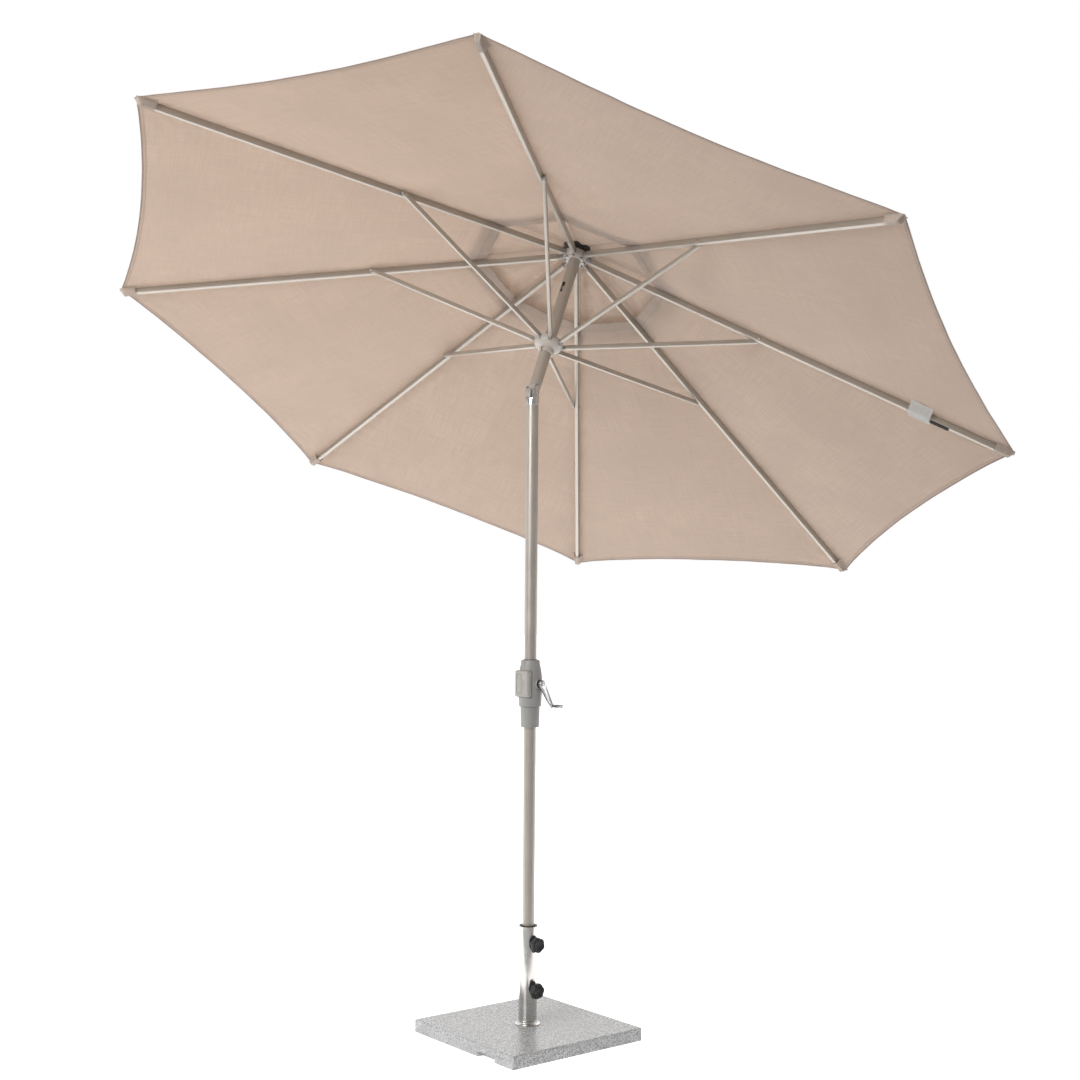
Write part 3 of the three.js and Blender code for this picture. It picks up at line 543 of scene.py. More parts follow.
def use(nodes, name, **inputs):
    group = nodes.add("ShaderNodeGroup")
    group.node_tree = bpy.data.node_groups[name]
    for key, value in inputs.items():
        nodes.feed(group, key, value)
    return group.outputs


def bump(nodes, shader, height, distance, strength=1.0):
    node = nodes.add("ShaderNodeBump", Strength=strength, Distance=distance, Height=height)
    nodes.feed(shader, "Normal", node.outputs["Normal"])
    return node


def rgba(values, k=1.0):
    return (*(min(1.0, v * k) for v in values), 1.0)


def grained(name, tint, roughness, metallic=0.0, scale=900.0, depth=0.00003, vary=0.12, coat=0.0, gloss=0.5):
    """Moulded plastic, rubber or sprayed metal: a grain in the surface and slow patches in colour and gloss."""
    material, nodes, shader, where = begin(name)
    grain = use(nodes, "Grain", Vector=where, Scale=scale)
    base = nodes.blend(grain["Patches"], rgba(tint, 1 - vary), rgba(tint, 1 + vary))
    # Painted shade: the grain's low points are darkened a little.
    painted_pit_shade = nodes.blend(nodes.spread(grain["Height"], 0.25, 0.6), rgba(tint, 0.95), base)
    nodes.feed(shader, "Base Color", painted_pit_shade)
    nodes.feed(shader, "Roughness", nodes.spread(grain["Patches"], 0.0, 1.0, roughness * 0.86,
        roughness * 1.14))
    shader.inputs["Metallic"].default_value = metallic
    shader.inputs["Coat Weight"].default_value = coat
    shader.inputs["Coat Roughness"].default_value = 0.12
    shader.inputs["Specular IOR Level"].default_value = gloss
    bump(nodes, shader, grain["Height"], depth)
    return material


def drawn(name, tint, roughness, stretch, depth=0.000006):
    """Bright metal with drawn lines and faint smudges."""
    material, nodes, shader, where = begin(name)
    streaks = use(nodes, "Streaks", Vector=where, Stretch=stretch)
    nodes.feed(shader, "Base Color", nodes.blend(streaks["Smudges"], rgba(tint, 0.94), rgba(tint, 1.04)))
    nodes.feed(shader, "Roughness", nodes.spread(streaks["Smudges"], 0, 1, roughness * 0.8, roughness * 1.3))
    shader.inputs["Metallic"].default_value = 1.0
    bump(nodes, shader, streaks["Height"], depth)
    return material


def granite(name, polish):
    """Grey granite: pale crystals, dark mica specks and cloudy patches, polished or sawn."""
    material, nodes, shader, where = begin(name)
    tint = colours().granite
    crystals = nodes.add("ShaderNodeTexVoronoi", {"feature": "F1"}, Scale=330.0)
    nodes.feed(crystals, "Vector", where)
    tone = nodes.add("ShaderNodeSeparateColor")
    nodes.feed(tone, "Color", crystals.outputs["Color"])
    shade = nodes.spread(tone.outputs[0], 0.0, 1.0)
    base = nodes.blend(shade, rgba(tint, 0.5), rgba(tint, 1.45))
    mica = nodes.spread(nodes.noise(where, 430.0, 2.0), 0.56, 0.64)
    base = nodes.blend(mica, base, rgba(tint, 0.16))
    quartz = nodes.spread(nodes.noise(where, 380.0, 3.0, 0.7), 0.58, 0.66)
    base = nodes.blend(quartz, base, rgba((0.74, 0.74, 0.73)))
    cloud = nodes.spread(nodes.noise(where, 9.0, 4.0), 0.3, 0.7)
    base = nodes.blend(cloud, base, nodes.blend(0.3, base, rgba(tint, 0.8)))
    nodes.feed(shader, "Base Color", base)
    rough = (0.16, 0.3) if polish else (0.75, 0.92)
    nodes.feed(shader, "Roughness", nodes.spread(shade, 0, 1, *rough))
    pits = nodes.maths("ADD", nodes.noise(where, 520.0, 4.0, 0.7), nodes.maths("MULTIPLY", shade, 0.4))
    bump(nodes, shader, pits, 0.00001 if polish else 0.0004)
    return material


def cloth_finish(name, tint, through, thread_scale=1100.0, sewn=False):
    """Plain-woven polyester that lets some light through, with its stitches and folded edges where it is sewn."""
    material, nodes, shader, _ = begin(name)
    where = nodes.add("ShaderNodeUVMap", {"uv_map": "cloth"}).outputs["UV"]
    weave = use(nodes, "Weave", Vector=where, Threads=thread_scale)
    base = nodes.blend(weave["Slubs"], rgba(tint, 0.94), rgba(tint, 1.06))
    base = nodes.blend(weave["Shade"], base, nodes.blend(0.5, base, rgba(tint, 0.90)))
    # Painted shade: the weave's low points between the threads are darkened.
    painted_gap_shade = nodes.spread(weave["Height"], 0.05, 0.5)
    base = nodes.blend(painted_gap_shade, nodes.blend(0.35, base, rgba(tint, 0.55)), base)
    lift = nodes.maths("ADD", weave["Height"], nodes.maths("MULTIPLY", weave["Slubs"], 0.6))
    glow_tint = base
    if sewn:
        edges = nodes.add("ShaderNodeUVMap", {"uv_map": "edges"}).outputs["UV"]
        ends = nodes.add("ShaderNodeUVMap", {"uv_map": "ends"}).outputs["UV"]
        sewing = use(nodes, "Sewing", Edges=edges, Ends=ends)
        base = nodes.blend(sewing["Hem"], base, rgba(HEM_TINT, 1.0))
        base = nodes.blend(sewing["Stitches"], base, rgba(colours().thread))
        glow_tint = nodes.blend(sewing["Double"], base, nodes.blend(0.5, base, rgba(tint, 0.72)))
        lift = nodes.maths("ADD", lift, nodes.maths("MULTIPLY", sewing["Stitches"], 2.5))
    nodes.feed(shader, "Base Color", base)
    shader.inputs["Roughness"].default_value = 0.88
    shader.inputs["Specular IOR Level"].default_value = 0.25
    shader.inputs["Sheen Weight"].default_value = 0.2
    shader.inputs["Sheen Roughness"].default_value = 0.5
    relief = bump(nodes, shader, lift, 0.00018, 0.7)
    glow = nodes.add("ShaderNodeBsdfTranslucent")
    nodes.feed(glow, "Color", glow_tint)
    nodes.feed(glow, "Normal", relief.outputs["Normal"])
    mixed = nodes.add("ShaderNodeMixShader")
    for key, value in (("0", through), ("1", shader.outputs[0]), ("2", glow.outputs[0])):
        nodes.feed(mixed, key, value)
    nodes.feed(material.node_tree.nodes["Material Output"], "Surface", mixed.outputs[0])
    return material


def sewing_effect():
    """Stitches beside the ribs' seams, along the hem and along the vent's facing, and where the cloth is doubled."""
    nodes, given, out = effect(
        "Sewing",
        {"Edges": ("Vector", None), "Ends": ("Vector", None)},
        {"Stitches": ("Float", 0.0), "Double": ("Float", 0.0), "Hem": ("Float", 0.0)},
    )
    parts = []
    for label in ("Edges", "Ends"):
        split = nodes.add("ShaderNodeSeparateXYZ")
        nodes.feed(split, "Vector", given.outputs[label])
        parts += [split.outputs[0], split.outputs[1]]
    aside, from_hem, _, from_vent = parts

    def row(across, along, place):
        near = nodes.maths("ABSOLUTE", nodes.maths("SUBTRACT", across, place))
        line = nodes.spread(near, 0.0004, 0.0007, 1.0, 0.0)
        dash = nodes.spread(nodes.maths("SINE", nodes.maths("MULTIPLY", along, 1800.0)), -0.5, -0.2)
        return nodes.maths("MULTIPLY", line, dash)

    rows = [row(aside, from_hem, 0.0035), row(from_hem, aside, 0.0125), row(from_vent, aside, 0.0325),
        row(from_vent, aside, 0.003)]
    stitches = rows[0]
    for other in rows[1:]:
        stitches = nodes.maths("MAXIMUM", stitches, other)
    nodes.feed(out, "Stitches", stitches)
    hem = nodes.spread(from_hem, 0.0147, 0.0150, 1.0, 0.0)
    facing = nodes.spread(from_vent, 0.0347, 0.0350, 1.0, 0.0)
    seam = nodes.spread(aside, 0.0058, 0.0060, 1.0, 0.0)
    nodes.feed(out, "Double", nodes.maths("MAXIMUM", nodes.maths("MAXIMUM", hem, facing), seam))
    nodes.feed(out, "Hem", nodes.spread(from_hem, 0.0045, 0.0060, 1.0, 0.0))


def once(make):
    """Makes a finish the first time that a piece asks for it."""
    made = []
    return lambda: made[0] if made else (made.append(make()) or made[0])


FINISHES = {
    "granite_top": once(lambda: granite("Polished granite", True)),
    "granite_side": once(lambda: granite("Sawn granite", False)),
    "rubber": once(lambda: grained("Rubber", (0.018, 0.018, 0.019), 0.8, scale=500, depth=0.0001)),
    "stainless": once(lambda: drawn("Polished stainless", (0.66, 0.65, 0.63), 0.2, (1600, 1600, 14))),
    "zinc": once(lambda: drawn("Zinc-plated steel", (0.55, 0.55, 0.54), 0.32, (500, 500, 500))),
    "chrome": once(lambda: drawn("Chrome", (0.68, 0.68, 0.69), 0.08, (90, 90, 90), 0.000002)),
    "coat": once(lambda: grained("Champagne frame coat", colours().coat, 0.38, metallic=0.5, scale=2600,
                                 depth=0.000002, vary=0.03)),
    "black": once(lambda: grained("Black plastic", colours().black, 0.5, scale=1100, depth=0.00004)),
    "grey": once(lambda: grained("Grey plastic", colours().grey, 0.42, scale=1200, depth=0.00002, vary=0.05)),
    "beige": once(lambda: grained("Beige plastic", colours().beige, 0.42, scale=1200, depth=0.00002,
    vary=0.05)),
    "pale": once(lambda: grained("Pale plastic", colours().pale, 0.38, scale=1200, depth=0.00002, vary=0.05)),
    "dark": once(lambda: grained("Dark plastic", colours().dark, 0.55, scale=900, depth=0.00004)),
    "cloth": once(lambda: cloth_finish("Canopy cloth", colours().cloth, 0.5, sewn=True)),
    "cover": once(lambda: cloth_finish("Cover cloth", colours().cloth, 0.5, sewn=True)),
    "pocket": once(lambda: cloth_finish("Pocket cloth", tuple(0.9 * c for c in colours().cloth), 0.3)),
    "label": once(lambda: cloth_finish("Blank care label", (0.78, 0.78, 0.76), 0.55, 2200)),
}


class PieceOperator:
    """What all the operators share."""

    bl_options = {"REGISTER", "UNDO"}


# ---- the base ----
class UMBRELLA_OT_slab(PieceOperator, bpy.types.Operator):
    """Square granite slab with a polished top, worn edges and a hand notch under one side"""

    bl_idname = "umbrella.slab"
    bl_label = "Granite slab"

    def execute(self, context):
        edge = sizes().slab_edge
        slab = box("slab", SLAB_LOW, SLAB_HIGH, rounds=[(2, edge, 3)], bevel=edge * 0.6, segments=3,
            smooth=60)
        notch_low = (SLAB_LOW.x - 0.01, -0.1625, SLAB_LOW.z - 0.01)
        notch_high = (SLAB_LOW.x + 0.022, -0.0775, SLAB_LOW.z + 0.016)
        notch = box("notch", notch_low, notch_high, rounds=[(0, 0.006, 4)])
        stud = rod("stud_way", 0.0083, (0, 0, -0.01), (0, 0, SLAB_HIGH.z + 0.01))
        carved(slab, notch, stud)
        self.wear(slab)
        slab.data.materials.clear()
        placed(slab, "base", ["granite_side", "granite_top"], replaces=["granite_slab"])
        for face in slab.data.polygons:
            face.material_index = int(face.normal.z > 0.95)
        return {"FINISHED"}

    def wear(self, slab):
        """Cuts the slab finely and eats a little into its edges, leaving the middle of the top flat."""
        select_only(slab)
        editing()
        for axis in range(3):
            for i in range(-24, 25):
                where = Vector((0, 0, SLAB_HIGH.z / 2))
                where[axis] += i * (0.0102 if axis < 2 else 0.0076)
                if axis == 2 and abs(i) > 2:
                    continue
                normal = Vector((0, 0, 0))
                normal[axis] = 1
                ops.mesh.select_all(action="SELECT")
                ops.mesh.bisect(plane_co=where, plane_no=normal)
        done_editing()
        mesh = slab.data
        for v in mesh.vertices:
            inset = [SLAB_HIGH.x - abs(v.co.x), SLAB_HIGH.y - abs(v.co.y), min(v.co.z, SLAB_HIGH.z - v.co.z)]
            near = sorted(inset)
            if near[0] > 0.004:
                continue
            corner = max(0.0, 1 - near[1] / 0.004)
            rough = noise.noise(v.co * 55) * 0.0005 + noise.noise(v.co * 210) * 0.0003
            bite = corner * max(0.0, noise.noise(v.co * 120 + Vector((7, 3, 5)))) * 0.0016
            if inset[2] < 0.0005 and corner == 0:
                continue
            toward = Vector((-v.co.x, -v.co.y, SLAB_HIGH.z / 2 - v.co.z))
            pull = Vector([t if i < 0.004 else 0 for t, i in zip(toward, inset)]).normalized()
            v.co += pull * (bite + abs(rough) * (0.4 if inset[2] < 0.004 else 1))


class UMBRELLA_OT_feet(PieceOperator, bpy.types.Operator):
    """Four rubber feet screwed under the slab"""

    bl_idname = "umbrella.feet"
    bl_label = "Rubber feet"

    def execute(self, context):
        low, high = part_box("base_foot_1")
        radius, height = (high.x - low.x) / 2, high.z - low.z
        outline = [
            (0.0035, 0.0035), (0.0055, 0.0035), (0.006, 0.0005), (0.0085, 0),
            *arc(radius - 0.003, 0.003, 0.003, -90, -15),
            (radius, height - 0.001), (radius - 0.001, height), (0.0035, height),
        ]
        foot = turned("foot", outline, sides=64, ring=True)
        screw = turned("foot_screw", [(0.0002, 0.0008), *arc(0.0035, 0.0025, 0.0016, -90, 0, 4),
            (0.0051, 0.0040),
                                      (0.0034, 0.0041), (0.0034, height)], sides=48)
        for i in range(1, 5):
            low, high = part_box(f"base_foot_{i}")
            at = shift((low.x + high.x) / 2, (low.y + high.y) / 2, low.z)
            placed(copied(foot, f"foot_rubber_{i}"), "base", "rubber", at, [f"base_foot_{i}"])
            placed(copied(screw, f"foot_screw_{i}"), "base", "zinc", at)
        bpy.data.objects.remove(foot)
        bpy.data.objects.remove(screw)
        return {"FINISHED"}


class UMBRELLA_OT_sleeve(PieceOperator, bpy.types.Operator):
    """Stainless sleeve with its slots, flange ring and black liner"""

    bl_idname = "umbrella.sleeve"
    bl_label = "Sleeve"

    def execute(self, context):
        low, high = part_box("base_sleeve")
        radius, wall = sizes().sleeve / 2, sizes().sleeve_wall
        top, foot = high.z, low.z
        knobs = [joint_point(f"knob_{k}_turn").z for k in ("lower", "upper")]
        tube = turned("sleeve_tube", [
            (radius - wall, foot), (radius, foot), (radius, top - 0.0005), (radius - 0.0005, top),
            (radius - wall + 0.0005, top), (radius - wall, top - 0.0005),
        ], sides=128, ring=True)
        slots = [moved(obround("slot", 0.016, 0.054, -0.08), shift(z=z)) for z in knobs]
        carved(tube, *slots)
        select_only(tube)
        apply_modifier(tube, "BEVEL", width=0.0004, segments=2, limit_method="ANGLE",
            angle_limit=math.radians(60))
        ops.object.shade_smooth_by_angle(angle=math.radians(35), keep_sharp_edges=False)
        placed(tube, "base", "stainless", replaces=["base_sleeve"])

        low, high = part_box("sleeve_flange")
        outer, inner = high.x, radius + 0.0003
        base, rise = low.z, high.z - low.z
        ring = turned("flange_ring", [
            (inner, base), (outer - 0.0008, base), *arc(outer - 0.0012, base + 0.0014, 0.0012, -60, 80, 5),
            *arc(outer - 0.002, base + 0.0135, 0.0108, 262, 200, 10), (inner + 0.0014, base + rise - 0.0006),
            (inner + 0.0008, base + rise), (inner, base + rise),
        ], sides=128, ring=True)
        placed(ring, "base", "stainless", replaces=["sleeve_flange"])

        inside, fit = sizes().pole / 2 + 0.0022, radius - wall - 0.0003
        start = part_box("sleeve_liner")[0].z
        rim = top + 0.0003
        liner = turned("liner_tube", [
            (inside, start), (fit, start), (fit, rim), *arc(radius - 0.0006, rim + 0.0008, 0.0006, -80, 0, 3),
            *arc(radius - 0.001, rim + 0.0014, 0.001, 0, 90, 4),
            *arc(inside + 0.0012, rim + 0.0012, 0.0012, 90, 180, 4),
        ], sides=128, ring=True)
        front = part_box("sleeve_liner")[0].y
        for z in knobs:
            boss = moved(obround("boss", 0.0154, 0.0534, -front - inside - 0.0006, bevel=0.0008,
                segments=2), shift(y=front, z=z))
            hole = rod("screw_way", 0.0043, (0, front - 0.01, z), (0, 0, z))
            carved(liner, boss, union=True)
            carved(liner, hole)
        placed(liner, "base", "black", replaces=["sleeve_liner"])
        return {"FINISHED"}


class UMBRELLA_OT_knobs(PieceOperator, bpy.types.Operator):
    """Two hand knobs that clamp the mast: a rounded six-sided head with a dished face on a round neck"""

    bl_idname = "umbrella.knobs"
    bl_label = "Clamp knobs"

    def execute(self, context):
        for place, angle in (("lower", 8), ("upper", 38)):
            low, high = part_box(f"clamp_knob_{place}")
            joint = f"knob_{place}_turn"
            at = shift(0, high.y, joint_point(joint).z) @ turn(90, "X") @ turn(angle)
            knob = self.knob(high.y - low.y)
            placed(knob, f"knob_{place}", "black", at, [f"clamp_knob_{place}"])
            knob.name = knob.data.name = f"hand_knob_{place}"
        return {"FINISHED"}

    def knob(self, depth):
        half, waist = sizes().knob / 2, 0.005
        body = turned("knob", [
            (0.0043, 0), (0.0102, 0), (0.0110, 0.0008), (0.0110, waist - 0.001), (0.0122, waist),
            (0.0190, waist),
            (half - 0.0026, waist + 0.0006), (half - 0.0006, waist + 0.0028), (half, waist + 0.0060),
            (half, depth - 0.0072),
            (half - 0.0005, depth - 0.0040), (half - 0.0022, depth - 0.0014), (half - 0.0046, depth - 0.0003),
            (half - 0.0062, depth), (half - 0.0078, depth - 0.0006), (half - 0.0092, depth - 0.0022),
            (half - 0.0118, depth - 0.0042), (half - 0.0150, depth - 0.0052), (0.0050, depth - 0.0056),
            (0.0043, depth - 0.0057),
        ], sides=96, ring=True, smooth=50)
        for v in body.data.vertices:
            radius, angle = v.co.xy.length, math.atan2(v.co.y, v.co.x)
            dip = 0.085 * (0.5 - 0.5 * math.cos(6 * angle)) * fade(radius, 0.0125, 0.020)
            v.co.xy *= 1 - dip
        plug = turned("knob_screw_end", [(0.0002, 0.004), (0.0043, 0.004), (0.0043, depth - 0.0056),
            (0.0038, depth - 0.0050),
                                         (0.0002, depth - 0.0048)], sides=48)
        return joined("knob", body, plug)


# ---- the mast ----
class UMBRELLA_OT_mast(PieceOperator, bpy.types.Operator):
    """Two tubes of the mast, one above the other"""

    bl_idname = "umbrella.mast"
    bl_label = "Mast tubes"

    def execute(self, context):
        for node in ("lower_pole", "middle_pole"):
            low, high = span(GROUND, node)
            tube = turned(f"{node}_tube", ring_outline(sizes().pole / 2, sizes().pole_wall, low.z, high.z),
                ring=True)
            placed(tube, "mast", "coat", replaces=[node])
        return {"FINISHED"}


class UMBRELLA_OT_winch(PieceOperator, bpy.types.Operator):
    """Crank housing with its boss, collar, black rims and front cover"""

    bl_idname = "umbrella.winch"
    bl_label = "Crank housing"

    def execute(self, context):
        low, high = span(WINCH, "crank_housing")
        bore, foot, top = sizes().pole / 2 + 0.0003, low.z, high.z
        outline = [
            (bore, foot), (0.0325, foot), *arc(0.0330, foot + 0.002, 0.002, -60, 0, 4), (0.0362, -0.040),
            (0.0375, -0.020), (0.0380, 0), (0.0372, 0.018), (0.0352, 0.034), (0.0325, 0.050), (0.0300, 0.061),
            *arc(0.0262, top - 0.003, 0.003, 25, 90, 5), (bore + 0.0035, top),
            (bore + 0.003, top - 0.0008), (bore, top - 0.0008),
        ]
        barrel = turned("crank_barrel", outline, sides=128, ring=True)
        boss = rod("boss", 0.0155, (0, -0.030, 0), (0, low.y, 0), sides=64, bevel=0.0015, segments=3)
        carved(barrel, boss, union=True)
        dish = rod("dish", 0.0135, (0, low.y + 0.002, 0), (0, low.y - 0.01, 0), sides=64)
        way = rod("way", 0.0056, (0, low.y + 0.01, 0), (0, low.y - 0.01, 0), sides=48)
        window = box("window", (-0.06, -0.0303, -0.0423), (-0.0203, 0.0303, 0.0423), rounds=[(0, 0.006, 5)])
        carved(barrel, dish, way, window)
        placed(barrel, "mast", "grey", WINCH, ["crank_housing"])
        for name, z in (("top", top - 0.0009), ("foot", foot - 0.0001)):
            rim = turned(f"housing_rim_{name}", [
                (bore, z), (bore + 0.0029, z), (bore + 0.0032, z + 0.0008), (bore + 0.0024, z + 0.0022),
                (bore, z + 0.0024)
            ], ring=True)
            placed(rim, "mast", "black",
                WINCH if name == "top" else WINCH @ shift(z=-0.0023))
        washer = turned("crank_washer", ring_outline(0.0132, 0.0080, 0, 0.0012), sides=64, ring=True)
        placed(washer, "mast", "black", WINCH @ shift(y=low.y + 0.0020) @ turn(90, "X"))

        low, high = span(WINCH, "housing_collar")
        collar = turned("housing_collar_ring", [
            (bore, low.z), *arc(0.0265, low.z + 0.0025, 0.0025, -80, 0, 4), (0.0300, high.z - 0.0045),
            *arc(0.0292, high.z - 0.0008, 0.0008, 0, 90, 3), (bore, high.z),
        ], ring=True)
        placed(collar, "mast", "grey", WINCH, ["housing_collar"])
        self.cover()
        return {"FINISHED"}

    def cover(self):
        low, high = span(WINCH, "housing_cover")
        face = low.x
        block = box("housing_front", (face, low.y + 0.0003, low.z + 0.0003),
            (-0.0205, high.y - 0.0003, high.z - 0.0003),
                    rounds=[(0, 0.0075, 8)])
        select_only(block)
        editing()
        choose("FACE", lambda c, n: n.x < -0.99)
        ops.mesh.bevel(offset=0.004, offset_type="OFFSET", segments=6, affect="EDGES", clamp_overlap=False)
        done_editing()
        oval = moved(obround("oval", 0.024, 0.062, 0.01, sides=64), turn(90), shift(x=face + 0.0014, y=0.008))
        island = moved(obround("island", 0.0205, 0.0585, 0.01, sides=64), turn(90),
            shift(x=face + 0.0100, y=0.008))
        groove = carved(oval, island)
        tie = self.tie(face)
        carved(block, groove, tie, smooth=30)
        apply_modifier(block, "BEVEL", width=0.0004, segments=2, limit_method="ANGLE",
            angle_limit=math.radians(55))
        ops.object.shade_smooth_by_angle(angle=math.radians(35), keep_sharp_edges=False)
        placed(block, "mast", "beige", WINCH, ["housing_cover"])

    def tie(self, face):
        """A waisted groove beside the oval."""
        tie = box("tie", (face - 0.01, -0.0145, -0.012), (face + 0.0009, -0.0105, 0.012))
        select_only(tie)
        editing()
        ops.mesh.select_all(action="SELECT")
        ops.mesh.bisect(plane_co=(0, 0, 0), plane_no=(0, 0, 1))
        done_editing()
        for v in tie.data.vertices:
            if abs(v.co.z) < 0.001:
                v.co.y = -0.0125 + (v.co.y + 0.0125) * 0.35
        return tie


class UMBRELLA_OT_crank(PieceOperator, bpy.types.Operator):
    """Crank arm with its hub and groove, and the grip that turns on it"""

    bl_idname = "umbrella.crank"
    bl_label = "Crank"

    def execute(self, context):
        low, high = span(WINCH, "crank_arm")
        grip = WINCH.inverted() @ joint_point("grip_spin")
        reach = math.hypot(grip.x, grip.z)
        clear()
        ops.mesh.primitive_cylinder_add(vertices=96, radius=0.0125, depth=0.0072)
        ops.object.transform_apply(location=True, rotation=False, scale=True)
        hub = active()
        ops.mesh.primitive_cylinder_add(vertices=96, radius=0.0075, depth=0.0072, location=(reach, 0, 0))
        ops.object.transform_apply(location=True, rotation=False, scale=True)
        arm = joined("arm", hub, active())
        editing()
        ops.mesh.select_all(action="SELECT")
        ops.mesh.convex_hull()
        choose("FACE", lambda _, n: n.z > 0.99)
        ops.mesh.dissolve_faces()
        ops.mesh.bevel(offset=0.0012, offset_type="OFFSET", segments=4, affect="EDGES")
        done_editing()
        arm = finish_shape("crank_arm_bar", smooth=35)
        groove = box("groove", (0.0195, -0.0035, 0.0026), (reach - 0.012, 0.0035, 0.01),
            rounds=[(2, 0.0034, 6)])
        carved(arm, groove)
        select_only(arm)
        apply_modifier(arm, "BEVEL", width=0.0004, segments=2, limit_method="ANGLE",
            angle_limit=math.radians(60))
        cap = turned("crank_cap", [
            (0.0002, 0.0028), (0.0105, 0.0028), (0.0112, 0.0044), *arc(0.0096, 0.0050, 0.0016, 0, 80, 5),
            (0.0060, 0.0070),
            (0.0055, 0.0062), (0.0045, 0.0061), (0.0040, 0.0068), (0.0002, 0.0070),
        ], sides=96)
        arm = joined("crank_arm_bar", arm, cap)
        ops.object.shade_smooth_by_angle(angle=math.radians(35), keep_sharp_edges=False)
        swing = math.degrees(math.atan2(-grip.z, grip.x))
        hang = turn(swing, "Y")
        placed(arm, "crank", "chrome",
               WINCH @ hang @ shift(y=(low.y + high.y) / 2) @ turn(90, "X"), ["crank_arm"])

        low, high = span(WINCH, "crank_grip")
        radius, length = (high.x - low.x) / 2, high.y - low.y
        outline = [
            (0.0002, 0), *arc(radius - 0.0025, 0.0008, 0.0008, -90, -20, 4), (radius - 0.0012, 0.004),
            (radius - 0.0003, 0.010),
            (radius, length * 0.55), (radius - 0.0004, length - 0.006),
            *arc(radius - 0.0034, length - 0.003, 0.003, 5, 85, 6),
            (0.0030, length), (0.0026, length - 0.0008), (0.0002, length - 0.0009),
        ]
        knob = turned("crank_grip_knob", outline, sides=64)
        placed(knob, "grip", "chrome",
            WINCH @ shift(grip.x, high.y, grip.z) @ turn(90, "X"), ["crank_grip"])
        return {"FINISHED"}


class UMBRELLA_OT_tilt(PieceOperator, bpy.types.Operator):
    """Tilt joint: fork, pin, release and knuckle"""

    bl_idname = "umbrella.tilt"
    bl_label = "Tilt joint"

    def execute(self, context):
        low, high = span(TILT, "tilt_fork")
        outer, inner = high.x, sizes().pole / 2 + 0.0003
        fork = turned("fork_tube", ring_outline(outer, outer - inner, low.z, high.z), sides=128, ring=True)
        slot = box("slot", (-0.05, -0.0125, -0.014), (0.05, 0.0125, 0.05), rounds=[(0, 0.003, 4)])
        trim = box("trim", (-0.03, -0.03, 0.0109), (0.03, 0.03, 0.06))
        carved(trim, rod("ear", 0.015, (0, -0.05, 0.011), (0, 0.05, 0.011), sides=96))
        carved(fork, slot, trim, rod("hole", 0.0043, (0, -0.05, 0), (0, 0.05, 0)))
        apply_modifier(fork, "BEVEL", width=0.0004, segments=2, limit_method="ANGLE",
            angle_limit=math.radians(50))
        ops.object.shade_smooth_by_angle(angle=math.radians(35), keep_sharp_edges=False)
        placed(fork, "mast", "chrome", TILT, ["tilt_fork"])

        low, high = span(TILT, "tilt_pin")
        pin = turned("tilt_pin_bar", [
            (0.0002, low.y - 0.0004), (0.0036, low.y - 0.0004), (0.0058, low.y + 0.0004),
            (0.0062, low.y + 0.0013),
            (0.0040, low.y + 0.0014), (0.0040, high.y - 0.0014), (0.0062, high.y - 0.0013),
            (0.0058, high.y - 0.0004),
            (0.0036, high.y + 0.0004), (0.0002, high.y + 0.0004),
        ], sides=64)
        placed(pin, "mast", "zinc", TILT @ turn(-90, "X"), ["tilt_pin"])

        low, high = span(TILT, "tilt_button")
        button = box("release", low, high, rounds=[(0, 0.003, 5), (1, 0.0022, 5)], bevel=0.0006,
            segments=2, smooth=40)
        ridges = [box("ridge", (low.x - 0.002, -0.0062, z),
            (low.x + 0.0009, 0.0062, z + 0.0012)) for z in (0.004, 0.0075, 0.011)]
        carved(button, *ridges)
        placed(button, "button", "beige", TILT, ["tilt_button"])

        low, high = span(HEAD, "tilt_knuckle")
        tongue = moved(obround("tongue", 0.029, 0.061, 0.023, sides=96), shift(y=-0.0115, z=0.0160))
        cap = rod("shoulder", 0.018, (0, 0, 0.029), (0, 0, 0.0360), sides=96)
        plug = rod("plug", 0.0168, (0, 0, 0.034), (0, 0, 0.060), sides=96)
        carved(tongue, cap, plug, union=True)
        carved(tongue, rod("hole", 0.0044, (0, -0.05, 0), (0, 0.05, 0)))
        apply_modifier(tongue, "BEVEL", width=0.0007, segments=3, limit_method="ANGLE",
            angle_limit=math.radians(50))
        ops.object.shade_smooth_by_angle(angle=math.radians(35), keep_sharp_edges=False)
        tongue.name = tongue.data.name = "knuckle_body"
        placed(tongue, "head", "beige", HEAD, ["tilt_knuckle"])
        return {"FINISHED"}


# ---- the head ----
def bar_slots(obj, inner, width, low, high, aside):
    """Cuts one slot for each bar, from an inner place outwards."""
    for k in RIBS:
        cutter = box("slot", (inner, aside - width / 2, low), (0.09, aside + width / 2, high))
        carved(obj, moved(cutter, Matrix.Rotation(RIB_TURNS[k], 4, "Z")))


